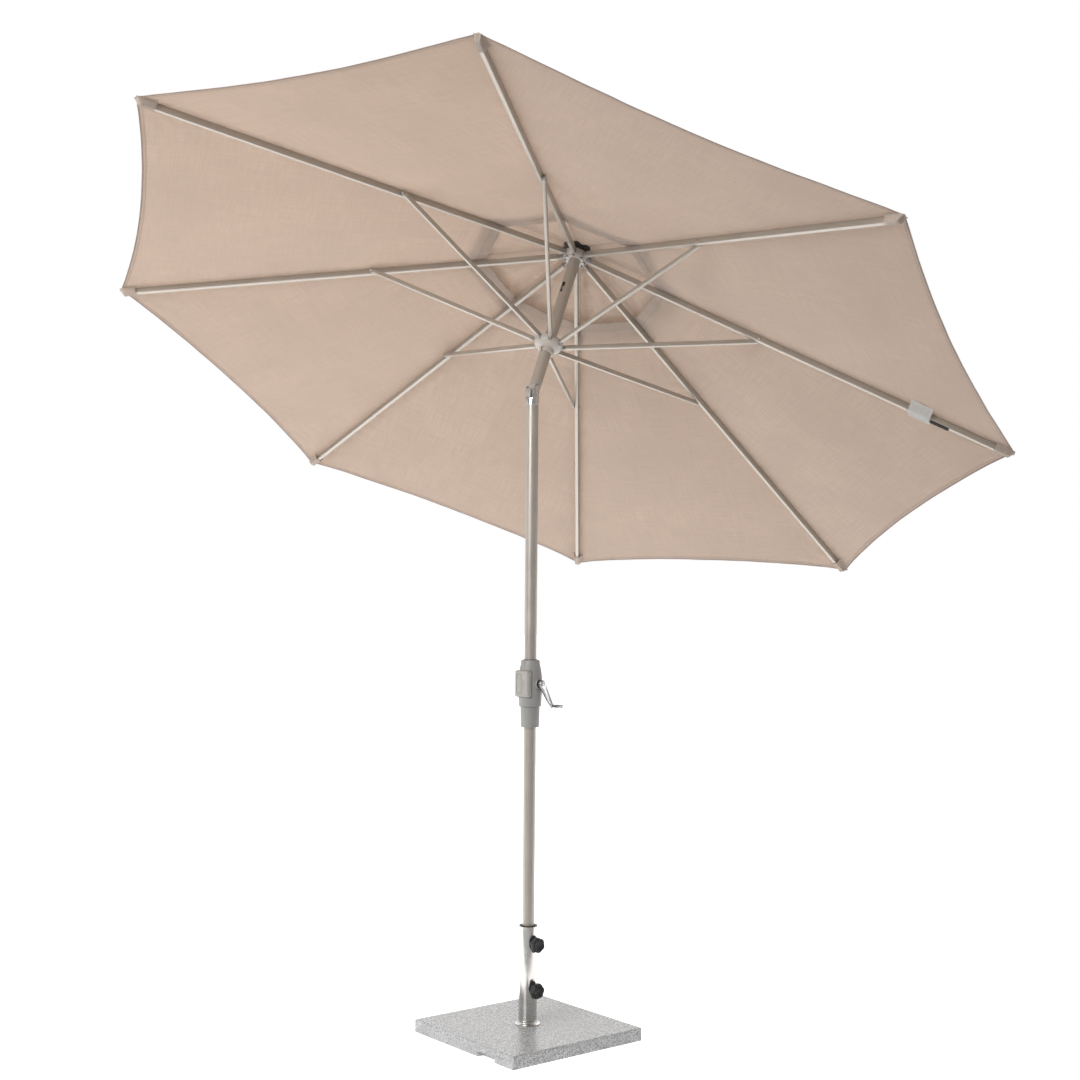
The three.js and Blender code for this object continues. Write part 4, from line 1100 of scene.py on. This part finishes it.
class UMBRELLA_OT_upper_tube(PieceOperator, bpy.types.Operator):
    """Upper tube of the mast with its slot, and the cord pulley in it"""

    bl_idname = "umbrella.upper_tube"
    bl_label = "Upper tube"

    def execute(self, context):
        low, high = span(HEAD, "upper_pole")
        pulley_low, pulley_high = span(HEAD, "cord_pulley")
        centre = (pulley_low + pulley_high) / 2
        tube = turned("upper_tube", ring_outline(sizes().pole / 2, sizes().pole_wall, low.z, high.z),
            sides=128, ring=True)
        slot = moved(obround("slot", 0.0104, 0.040, 0.04), turn(90), shift(x=-0.008, z=centre.z))
        carved(tube, slot, rod("hole", 0.0022, (centre.x, -0.05, centre.z), (centre.x, 0.05, centre.z)))
        placed(tube, "head", "coat", HEAD, ["upper_pole"])
        radius = (pulley_high.x - pulley_low.x) / 2
        wheel = turned("pulley_wheel", [
            (0.0024, -0.0040), (radius - 0.0006, -0.0040), (radius, -0.0034), (radius, -0.0028),
            (radius - 0.0028, -0.0010),
            (radius - 0.0028, 0.0010), (radius, 0.0028), (radius, 0.0034), (radius - 0.0006, 0.0040),
            (0.0024, 0.0040),
        ], sides=64, ring=True)
        placed(wheel, "pulley", "grey", HEAD @ shift(*centre) @ turn(90, "X"),
            ["cord_pulley"])
        return {"FINISHED"}


class UMBRELLA_OT_crown(PieceOperator, bpy.types.Operator):
    """Crown hub with its eight slots, the cap on it, and the finial"""

    bl_idname = "umbrella.crown"
    bl_label = "Crown"

    def execute(self, context):
        low, high = span(CROWN, "crown_hub")
        radius, bore = high.x, sizes().pole / 2 + 0.0003
        hub = turned("hub", [
            (bore, low.z), (0.0335, low.z), *arc(0.0348, low.z + 0.0036, 0.0036, -80, -20, 4),
            (radius, -0.003),
            *arc(radius - 0.0022, high.z - 0.0022, 0.0022, 0, 90, 5), (bore, high.z),
        ], sides=160, ring=True)
        bar_slots(hub, RIB_HINGE - 0.008, 0.0094, low.z - 0.01, 0.008, 0)
        groove = turned("groove", ring_outline(RIB_HINGE + 0.0018, 0.0036, low.z - 0.01, -0.0004),
            sides=96, ring=True)
        carved(hub, groove)
        apply_modifier(hub, "BEVEL", width=0.0005, segments=2, limit_method="ANGLE",
            angle_limit=math.radians(60))
        ops.object.shade_smooth_by_angle(angle=math.radians(35), keep_sharp_edges=False)
        hub.name = hub.data.name = "crown_ring"
        placed(hub, "head", "pale", CROWN, ["crown_hub"])

        low, high = span(CROWN, "crown_cap")
        cap = turned("crown_disc", [
            (0.0002, low.z), (0.0255, low.z), (0.0260, low.z + 0.001), (0.0262, 0.0245), (0.0275, 0.0259),
            (0.0520, 0.0259),
            *arc(0.0538, 0.0272, 0.0012, -90, 90, 6), (0.0130, 0.0405), (0.0120, 0.0415),
            (0.0120, high.z - 0.001),
            (0.0110, high.z), (0.0002, high.z),
        ], sides=128)
        placed(cap, "head", "dark", CROWN, ["crown_cap"])

        low, high = span(CROWN, "finial")
        lay = COVER_BASE + sizes().cloth + 0.0004
        slope = math.tan(RIB_DROOP)
        finial = turned("finial_knob", [
            (0.0125, lay - 0.0125 * slope), (0.0265, lay - 0.0265 * slope),
            (0.0284, lay - 0.0265 * slope + 0.0012),
            (0.0290, 0.0470), (0.0288, 0.0530), (0.0278, 0.0600), (0.0258, 0.0680), (0.0226, 0.0765),
            (0.0186, 0.0850),
            (0.0146, 0.0935), (0.0112, 0.1020), (0.0088, 0.1105), (0.0073, 0.1185), (0.0064, 0.1260),
            (0.0058, 0.1320),
            *arc(0.0010, high.z - 0.0046, 0.0046, 10, 85, 6), (0.0002, high.z), (0.0001, 0.0590),
            (0.0125, 0.0589),
        ], sides=96, ring=True)
        placed(finial, "head", "beige", CROWN, ["finial"])
        return {"FINISHED"}


class UMBRELLA_OT_runner(PieceOperator, bpy.types.Operator):
    """Runner on the upper tube: a domed ring with eight slots, a neck and a cord keyhole"""

    bl_idname = "umbrella.runner"
    bl_label = "Runner"

    def execute(self, context):
        low, high = span(RUNNER, "runner")
        radius, bore = 0.047, sizes().pole / 2 + 0.0003
        dome = [(radius * math.cos(a),
            0.026 * math.sin(a)) for a in (math.radians(-58 + 58 * i / 10) for i in range(11))]
        body = turned("runner_body", [
            (bore, low.z), (0.0235, low.z), *arc(0.0238, low.z + 0.0014, 0.0012, -80, 0, 3),
            (0.0250, -0.0262), *dome,
            *arc(radius - 0.0022, high.z - 0.0022, 0.0022, 0, 90, 5), (0.0285, high.z),
            (0.0275, high.z - 0.0012), (bore, high.z - 0.0012),
        ], sides=160, ring=True)
        hinge = (RUNNER.inverted() @ STRUT_SEATS[1].translation).xy
        out = Matrix.Rotation(-RIB_TURNS[1], 2) @ hinge
        bar_slots(body, out.x - 0.0085, 0.0096, -0.0085, 0.03, out.y)
        keyhole = joined("keyhole", rod("round", 0.0042, (-0.06, 0, -0.0290), (-0.015, 0, -0.0290), sides=32),
                         box("stem", (-0.06, -0.0021, -0.050), (-0.015, 0.0021, -0.0295)))
        apply_modifier(keyhole, "REMESH", mode="VOXEL", voxel_size=0.0006)
        carved(body, keyhole)
        apply_modifier(body, "BEVEL", width=0.0005, segments=2, limit_method="ANGLE",
            angle_limit=math.radians(60))
        ops.object.shade_smooth_by_angle(angle=math.radians(35), keep_sharp_edges=False)
        placed(body, "slider", "pale", RUNNER, ["runner"])
        return {"FINISHED"}


def bar(name, width, height, start, end, wall=0.0012):
    """A rounded rectangular tube along X with plugged ends set back a little."""
    shape = box(name, (start, -width / 2, -height / 2), (end, width / 2, height / 2), rounds=[(0, 0.0022, 4)])
    select_only(shape)
    editing()
    choose("FACE", lambda _, n: abs(n.x) > 0.99)
    ops.mesh.inset(thickness=wall, depth=0)
    ops.mesh.inset(thickness=0.0001, depth=-0.0015)
    done_editing()
    return finish_shape(name, smooth=40)


def tongue(name, width, height, start, end):
    """A flat hinge end with a round nose, and a pin hole through it."""
    nose = moved(obround(name, height, (end - start), width, sides=48), turn(90, "Y"))
    moved(nose, shift((start + end) / 2, -width / 2, 0))
    carved(nose, rod("pin_way", 0.0017, (0, -0.05, 0), (0, 0.05, 0), sides=24))
    apply_modifier(nose, "BEVEL", width=0.0005, segments=2, limit_method="ANGLE",
        angle_limit=math.radians(60))
    return nose


def rivet_head():
    """The low round head of a strut's rivet."""
    return turned("rib_rivet", [
        (0.0002, 0), (0.0048, 0), (0.0048, 0.0006), (0.0042, 0.0011), (0.0032, 0.0015), (0.0018, 0.0018),
        (0.0002, 0.0019)
    ], sides=48)


class UMBRELLA_OT_ribs(PieceOperator, bpy.types.Operator):
    """Eight ribs: a rounded tube with a hinge tongue, a rivet head and a plugged end"""

    bl_idname = "umbrella.ribs"
    bl_label = "Ribs"

    def execute(self, context):
        width, height = sizes().rib_width, sizes().rib_height
        tube = bar("rib", width, height, 0.024, RIB_END)
        nose = tongue("rib_nose", 0.008, 0.014, -0.007, 0.060)
        end = box("rib_plug", (RIB_END - 0.012, -width / 2 + 0.0013, -height / 2 + 0.0013),
                  (RIB_END - 0.0008, width / 2 - 0.0013, height / 2 - 0.0013), rounds=[(0, 0.0012, 3)],
                  bevel=0.0004)
        for k in RIBS:
            across = (RIB_SEATS[k].inverted() @ (STRUT_SEATS[k] @ Vector((STRUT_END - 0.007, 0, 0)))).xyz
            side = -math.copysign(1, across.y)
            head = moved(rivet_head(), turn(-90 * side, "X"),
                shift(across.x, side * (width / 2 - 0.0001), across.z))
            placed(head, f"rib_{k}", "zinc", RIB_SEATS[k])
            rib = copied(tube, f"rib_tube_{k}")
            placed(rib, f"rib_{k}", "coat", RIB_SEATS[k], [f"rib_{k}"])
            placed(copied(nose, f"rib_tongue_{k}"), f"rib_{k}", "grey", RIB_SEATS[k])
            placed(copied(end, f"rib_end_plug_{k}"), f"rib_{k}", "dark", RIB_SEATS[k])
        for part in (tube, nose, end):
            bpy.data.objects.remove(part)
        return {"FINISHED"}


class UMBRELLA_OT_struts(PieceOperator, bpy.types.Operator):
    """Eight struts from the runner to the ribs, each with its rivet"""

    bl_idname = "umbrella.struts"
    bl_label = "Struts"

    def execute(self, context):
        width, height = sizes().strut_width, sizes().strut_height
        rivet_at = STRUT_END - 0.007
        for k in RIBS:
            across = (STRUT_SEATS[k].inverted() @ RIB_SEATS[k].translation).y
            side = math.copysign(1, across)
            tube = bar(f"strut_tube_{k}", width, height, 0.014, STRUT_END - 0.0125)
            placed(tube, f"strut_{k}", "coat", STRUT_SEATS[k], [f"strut_{k}"])
            nose = tongue(f"strut_tongue_{k}.001", 0.0076, 0.013, -0.0065, 0.045)
            placed(nose, f"strut_{k}", "grey", STRUT_SEATS[k])
            foot = tongue(f"strut_end_{k}.001", 0.0078, 0.0135, -0.00675, 0.050)
            moved(foot, turn(180), shift(x=rivet_at))
            placed(foot, f"strut_{k}", "grey", STRUT_SEATS[k])
            stub = rod(f"strut_rivet_{k}", 0.0025, (rivet_at, side * 0.0096, 0),
                (rivet_at, -side * 0.0040, 0), sides=32)
            cap = moved(rivet_head(), turn(90 * side, "X"), shift(rivet_at, -side * 0.0038, 0))
            placed(joined(f"strut_rivet_{k}", stub, cap), f"strut_{k}", "zinc", STRUT_SEATS[k])
        return {"FINISHED"}


# ---- the cloth ----
EIGHTH = math.radians(45)
HALF_CHORD = math.sin(EIGHTH) / 2
SLOPE = math.tan(RIB_DROOP)


def wave(value):
    return math.sin(2 * math.pi * value)


def rough(*point):
    return noise.noise(Vector(point))


def fade(value, low, high):
    t = min(1.0, max(0.0, (value - low) / (high - low)))
    return t * t * (3 - 2 * t)


class Cloth:
    """One layer of the top: its height at the axis, its inner and outer ends, and how it lies in between."""

    def __init__(self, base, start, end, curve, sag, crease, hem, facing):
        self.base, self.start, self.end, self.curve = base, start, end, curve
        self.sag, self.crease, self.hem, self.facing = sag, crease, hem, facing

    def edge(self, t):
        return self.end - self.curve * 4 * t * (1 - t)

    def lie(self, out, t, aside, point):
        """How far the cloth lies under its straight panel: its sag, the pull at the corners, and ripples."""
        share = min(1.0, max(0.0, (out - self.start) / (self.end - self.start)))
        from_hem, from_vent = self.edge(t) - out, out - self.start
        bell = math.sin(math.pi * t) ** 2
        drop = self.sag * bell * math.sin(math.pi * (0.08 + 0.84 * share)) ** 0.7
        drop += self.crease * 0.0036 * bell * rough(point.x * 2.4, point.y * 2.4, 3.1)
        near = math.exp(-((aside - 0.024) / 0.030) ** 2) * fade(aside, 0.007, 0.016)
        drop += self.crease * 0.0011 * near * wave(out / 0.052 + 0.8 * rough(out * 9, point.x, 1.7))
        corner = math.hypot(self.end - out, aside)
        fan = math.atan2(aside, max(self.end - out, 1e-6))
        drop += (
            self.crease * 0.0028 * math.exp(-corner / 0.11) * fade(corner, 0.02, 0.07)
            * wave(fan * 1.9 + 0.2) * fade(aside, 0.008, 0.02)
        )
        drop += (
            self.crease * 0.0012 * math.exp(-(from_hem / 0.035) ** 2)
            * rough(t * 13, point.x * 5, 5.3) * fade(aside, 0.01, 0.05)
        )
        drop += (
            self.crease * 0.0010 * math.exp(-(from_vent / 0.05) ** 2)
            * wave(t * 3.5 + rough(point.x * 8, point.y * 8, 2)) * fade(aside, 0.01, 0.03)
        )
        return drop

    def point(self, out, aside, side, k):
        """A point of the underside in the crown's place, its share across the panel, and its straight-panel place."""
        t = min(0.5, aside / (out * 2 * HALF_CHORD))
        along = Vector((out * (1 - t + t * math.cos(EIGHTH)), side * out * t * math.sin(EIGHTH), 0))
        along.rotate(Matrix.Rotation(RIB_TURNS[k], 3, "Z"))
        along.z = self.base - out * SLOPE
        along.z -= self.lie(out, t, aside, along)
        return along, t


def wing(name, cloth, k, columns, rows):
    """The cloth on one rib, out to the middle of the panel at each side: a closed shell with its flat maps."""
    rib_lines = [0.0, 0.0045, 0.006, 0.0075]
    fans = [i / columns for i in range(1, columns + 1)]
    across = len(rib_lines) - 1 + columns
    inner = [0.0, cloth.facing * 0.03, cloth.facing * 0.96, cloth.facing]
    outer = [cloth.hem * 1.03, cloth.hem, cloth.hem * 0.5, cloth.hem * 0.05, 0.0]
    total = len(inner) + rows + len(outer) - 1
    clear()
    ops.mesh.primitive_grid_add(x_subdivisions=2 * across, y_subdivisions=total - 1, size=2)
    obj = active()
    mesh = obj.data
    cells = [(round((v.co.x + 1) * across) - across,
        round((v.co.y + 1) * (total - 1) / 2)) for v in mesh.vertices]
    count = len(cells)
    apply_modifier(obj, "SOLIDIFY", thickness=0.01, offset=1)
    flat, edges = [], []
    for index, (column, row) in enumerate(cells):
        side = -1 if column < 0 else 1
        step = abs(column)
        hem_row = row - len(inner) - rows + 1
        t = 0.0
        for _ in range(6):
            edge = cloth.edge(t)
            if row < len(inner):
                out = cloth.start + inner[row]
            elif hem_row >= 0:
                out = edge - outer[hem_row]
            else:
                share = (row - len(inner) + 1) / rows
                out = cloth.start + cloth.facing + share * (edge - cloth.hem * 1.03 - cloth.start - cloth.facing)
            widest = out * HALF_CHORD
            if step < len(rib_lines):
                aside = min(rib_lines[step], widest * step / across) if widest < 0.012 else rib_lines[step]
            else:
                begin_at = min(rib_lines[-1], widest * 0.6)
                aside = begin_at + (widest - begin_at) * fans[step - len(rib_lines)]
            t = min(0.5, aside / (out * 2 * HALF_CHORD))
        point, t = cloth.point(out, aside, side, k)
        from_hem, from_vent = cloth.edge(t) - out, out - cloth.start
        thick = sizes().cloth
        under = 0.0005 * (from_hem < cloth.hem * 1.01) + 0.0004 * (from_vent < cloth.facing * 0.97)
        thick += 0.0008 * (aside < 0.005) + 0.0002 * (from_hem < cloth.hem * 1.01)
        mesh.vertices[index].co = point + Vector((0, 0, thick))
        mesh.vertices[index + count].co = point - Vector((0, 0, under))
        middle_line = out * math.hypot(math.cos(EIGHTH / 2), SLOPE)
        flat.append(((0.5 - t) * out * 4 * HALF_CHORD / math.cos(EIGHTH / 2) * 0.5, middle_line))
        edges.append((aside, from_hem, from_vent))
    for label in ("cloth", "edges", "ends"):
        mesh.uv_layers.new(name=label)
    for face in mesh.polygons:
        columns_here = [cells[i % count][0] for i in face.vertices]
        side = -1 if sum(columns_here) < 0 else 1
        for corner in face.loop_indices:
            i = mesh.loops[corner].vertex_index % count
            mesh.uv_layers["cloth"].data[corner].uv = (side * flat[i][0] + 2 * side, flat[i][1] + 3 * k)
            mesh.uv_layers["edges"].data[corner].uv = edges[i][:2]
            mesh.uv_layers["ends"].data[corner].uv = (edges[i][0], edges[i][2])
    moved(obj, CROWN)
    select_only(obj)
    obj.name = mesh.name = name
    editing()
    ops.mesh.select_all(action="SELECT")
    ops.mesh.normals_make_consistent(inside=False)
    done_editing()
    ops.object.shade_smooth_by_angle(angle=math.radians(24), keep_sharp_edges=False)
    return obj


def stretch_over(obj):
    """Gives a wing of cloth its own copy of its mesh."""
    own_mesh(obj)


class UMBRELLA_OT_canopy(PieceOperator, bpy.types.Operator):
    """The canopy: eight wings of woven cloth over the ribs, meeting in the middle of each panel"""

    bl_idname = "umbrella.canopy"
    bl_label = "Canopy"

    def execute(self, context):
        s = sizes()
        end = RIB_HINGE + s.reach * math.cos(RIB_DROOP)
        base = (s.rib_height / 2 + 0.0006) / math.cos(RIB_DROOP) + RIB_HINGE * SLOPE
        cloth = Cloth(base, s.vent * math.cos(RIB_DROOP), end, s.scallop, 0.012, 1.0, s.hem, 0.035)
        columns, rows = ((40, 80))
        for k in RIBS:
            obj = wing(f"canopy_wing_{k}", cloth, k, columns, rows)
            placed(obj, f"rib_{k}", "cloth", replaces=["canopy"])
            stretch_over(obj)
        return {"FINISHED"}


class UMBRELLA_OT_vent_cover(PieceOperator, bpy.types.Operator):
    """The small cover over the vent, held between the crown cap and the finial"""

    bl_idname = "umbrella.vent_cover"
    bl_label = "Vent cover"

    def execute(self, context):
        s = sizes()
        cloth = Cloth(COVER_BASE, 0.0130, s.vent_cover * math.cos(RIB_DROOP), 0.008, 0.007, 1.5, 0.012, 0.010)
        columns, rows = ((26, 40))
        for k in RIBS:
            obj = wing(f"vent_cover_wing_{k}", cloth, k, columns, rows)
            placed(obj, f"rib_{k}", "cover", replaces=["vent_cover"])
            stretch_over(obj)
        return {"FINISHED"}


def flap(name, along, across, shape, thickness, finish, body, place, flat):
    """A small piece of cloth or tape whose shape gives each point from its two shares."""
    clear()
    ops.mesh.primitive_grid_add(x_subdivisions=along, y_subdivisions=across, size=1)
    obj = active()
    mesh = obj.data
    shares = [(v.co.x + 0.5, v.co.y + 0.5) for v in mesh.vertices]
    for v, (a, b) in zip(mesh.vertices, shares):
        v.co = shape(a, b)
    layer = mesh.uv_layers.new(name="cloth")
    for loop in mesh.loops:
        a, b = shares[loop.vertex_index]
        layer.data[loop.index].uv = (a * flat[0], b * flat[1])
    while len(mesh.uv_layers) > 1:
        mesh.uv_layers.remove(next(u for u in mesh.uv_layers if u.name != "cloth"))
    apply_modifier(obj, "SOLIDIFY", thickness=thickness, offset=0)
    obj = finish_shape(name, smooth=50)
    placed(obj, body, finish, place)
    return obj


class UMBRELLA_OT_trims(PieceOperator, bpy.types.Operator):
    """Corner pockets on the rib ends, and a blank label and a black strip on one rib"""

    bl_idname = "umbrella.trims"
    bl_label = "Trims"

    def execute(self, context):
        for k in RIBS:
            flap(f"corner_pocket_{k}", 20, 20, self.pocket, 0.0008, "pocket", f"rib_{k}", RIB_SEATS[k],
                (0.062, 0.074))
        flap("blank_label", 10, 28, self.label, 0.0004, "label", "rib_7", RIB_SEATS[7], (0.072, 0.104))
        strip = box("strip", (1.226, -0.0052, -0.0122), (1.288, 0.0052, -0.0100), rounds=[(2, 0.0045, 6)],
            bevel=0.0006)
        strip.name = strip.data.name = "rib_strip"
        placed(strip, "rib_7", "black", RIB_SEATS[7])
        return {"FINISHED"}

    def pocket(self, a, b):
        x = 1.434 + a * 0.0570
        y = (b - 0.5) * 2 * (0.024 - 0.014 * a)
        lid = 0.0102 - 0.121 * abs(y) - 0.0002
        closing = fade(a, 0.72, 1.0)
        under = -0.0114 * (1 - closing) + (lid - 0.001) * closing
        blend = fade(abs(y), 0.0068, 0.0068 + 0.0125 * (1 - 0.75 * a))
        return Vector((x, y, under + (lid - under) * blend + 0.0006 * rough(x * 60, y * 70, 4)))

    def label(self, a, b):
        x = 1.152 + a * 0.072
        y = (b - 0.5) * 0.094
        lid = 0.0100 - 0.121 * abs(y)
        blend = fade(abs(y), 0.0075, 0.040)
        return Vector((x + 0.003 * rough(y * 20, 1, 2), y,
            -0.0118 + (lid + 0.0105) * blend + 0.0012 * rough(x * 40, y * 40, 7)))


# ---- the stage ----
AZIMUTH, PITCH, ROLL = (math.radians(a) for a in (51.23, 1.62, 0.46))
LOOK = Vector((math.cos(PITCH) * math.cos(AZIMUTH), math.cos(PITCH) * math.sin(AZIMUTH), math.sin(PITCH)))


class UMBRELLA_OT_stage(PieceOperator, bpy.types.Operator):
    """Floor with a painted glow behind the umbrella and painted shade in front of it, soft lights and the camera"""

    bl_idname = "umbrella.stage"
    bl_label = "Stage"

    def execute(self, context):
        clear()
        ops.mesh.primitive_circle_add(vertices=96, radius=40, fill_type="NGON", location=(0, 0, FLOOR))
        ops.object.transform_apply(location=True, rotation=True, scale=True)
        floor = active()
        floor.name = floor.data.name = "floor"
        material, nodes, shader, where = begin("Pale floor")
        cloud = nodes.spread(nodes.noise(where, 0.6, 3.0), 0.3, 0.7)
        # Painted light and shade: from about half a metre in front of the umbrella backwards the floor is pale and
        # glows white. Nearer the camera it is painted dark grey without glow, which darkens what the sleeve and frame
        # reflect.
        forward = nodes.add("ShaderNodeVectorMath", {"operation": "DOT_PRODUCT"})
        nodes.feed(forward, "0", where)
        nodes.feed(forward, "1", tuple(LOOK.xy.normalized().to_3d()))
        painted_glow_and_shade = nodes.spread(forward.outputs["Value"], -0.60, -0.40)
        pale = nodes.blend(cloud, rgba((0.90, 0.90, 0.905)), rgba((0.92, 0.92, 0.925)))
        nodes.feed(shader, "Base Color", nodes.blend(painted_glow_and_shade, rgba((0.42, 0.42, 0.42)), pale))
        nodes.feed(shader, "Emission Strength", nodes.maths("MULTIPLY", painted_glow_and_shade, 0.8))
        shader.inputs["Roughness"].default_value = 0.75
        shader.inputs["Emission Color"].default_value = (1, 1, 1, 1)
        floor.data.materials.append(material)
        self.world()
        self.light("key_light", (-4.8, -1.2, 3.6), 3.0, 220)
        self.light("side_light", (3.4, 3.6, 3.2), 3.0, 20)
        self.light("top_light", (-0.6, 0.8, 5.6), 4.0, 270)
        self.camera()
        return {"FINISHED"}

    def world(self):
        """A white surround that is brightest behind the umbrella, and dimmer behind the camera."""
        world = bpy.data.worlds.new("Studio")
        world.use_nodes = True
        nodes = Nodes(world.node_tree)
        way = nodes.add("ShaderNodeTexCoord").outputs["Generated"]
        ahead = nodes.add("ShaderNodeVectorMath", {"operation": "DOT_PRODUCT"})
        nodes.feed(ahead, "0", way)
        nodes.feed(ahead, "1", tuple(LOOK))
        light = nodes.spread(ahead.outputs["Value"], -0.35, 0.55, 0.34, 1.05)
        seen = nodes.add("ShaderNodeLightPath").outputs["Is Camera Ray"]
        light = nodes.blend(seen, light, rgba((1, 1, 1)))
        nodes.feed(world.node_tree.nodes["Background"], "Color", light)
        bpy.context.scene.world = world
        bpy.context.scene.view_settings.view_transform = "Standard"

    def light(self, name, place, width, power, at=(0, 0, 1.3)):
        ops.object.light_add(type="AREA", location=place)
        lamp = active()
        lamp.name = lamp.data.name = name
        lamp.data.size = width
        lamp.data.energy = power
        lamp.rotation_euler = (Vector(at) - Vector(place)).to_track_quat("-Z", "Y").to_euler()

    def camera(self):
        ops.object.camera_add(location=(-3.0934, -3.8943, 1.3932))
        camera = active()
        camera.name = camera.data.name = "camera"
        camera.rotation_mode = "QUATERNION"
        camera.rotation_quaternion = LOOK.to_track_quat("-Z", "Y") @ Matrix.Rotation(ROLL, 3,
            "Z").to_quaternion()
        camera.data.sensor_width = 36
        camera.data.lens = 53.23
        camera.data.clip_end = 200
        bpy.context.scene.camera = camera


class UMBRELLA_OT_hidden(PieceOperator, bpy.types.Operator):
    """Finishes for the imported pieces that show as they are, inside the others"""

    bl_idname = "umbrella.hidden"
    bl_label = "Inner pieces"

    def execute(self, context):
        inner = {
            "zinc": ["sleeve_anchor", "clamp_screw_lower", "clamp_screw_upper", "pulley_pin", "crown_wire",
            "runner_wire"],
            "stainless": ["crank_shaft"],
            "black": ["clamp_pad_lower", "clamp_pad_upper"],
            "coat": ["pole_joiner"],
        }
        for finish, names in inner.items():
            for name in names:
                node = NODES[name]
                node.data.materials.clear()
                node.data.materials.append(FINISHES[finish]())
        return {"FINISHED"}


class UMBRELLA_PT_panel(bpy.types.Panel):
    bl_label = "Patio Umbrella"
    bl_idname = "UMBRELLA_PT_panel"
    bl_space_type = "VIEW_3D"
    bl_region_type = "UI"
    bl_category = "Umbrella"

    def draw(self, context):
        for group in (context.scene.umbrella_sizes, context.scene.umbrella_colours):
            column = self.layout.column()
            for key in type(group).__annotations__:
                column.prop(group, key)
        for operator in PIECES:
            self.layout.operator(operator.bl_idname)


PIECES = (
    UMBRELLA_OT_slab, UMBRELLA_OT_feet, UMBRELLA_OT_sleeve, UMBRELLA_OT_knobs, UMBRELLA_OT_mast,
    UMBRELLA_OT_winch,
    UMBRELLA_OT_crank, UMBRELLA_OT_tilt, UMBRELLA_OT_upper_tube, UMBRELLA_OT_crown, UMBRELLA_OT_runner,
    UMBRELLA_OT_ribs, UMBRELLA_OT_struts, UMBRELLA_OT_canopy, UMBRELLA_OT_vent_cover, UMBRELLA_OT_trims,
    UMBRELLA_OT_hidden, UMBRELLA_OT_stage,
)
CLASSES = (UmbrellaSizes, UmbrellaColours, *PIECES, UMBRELLA_PT_panel)


def register():
    for cls in CLASSES:
        bpy.utils.register_class(cls)
    bpy.types.Scene.umbrella_sizes = bpy.props.PointerProperty(type=UmbrellaSizes)
    bpy.types.Scene.umbrella_colours = bpy.props.PointerProperty(type=UmbrellaColours)


def unregister():
    del bpy.types.Scene.umbrella_colours
    del bpy.types.Scene.umbrella_sizes
    for cls in reversed(CLASSES):
        bpy.utils.unregister_class(cls)


def main():
    register()
    grain_effect()
    streaks_effect()
    weave_effect()
    sewing_effect()
    for operator in PIECES:
        group, name = operator.bl_idname.split(".")
        getattr(getattr(bpy.ops, group), name)()


if __name__ == "__main__":
    main()
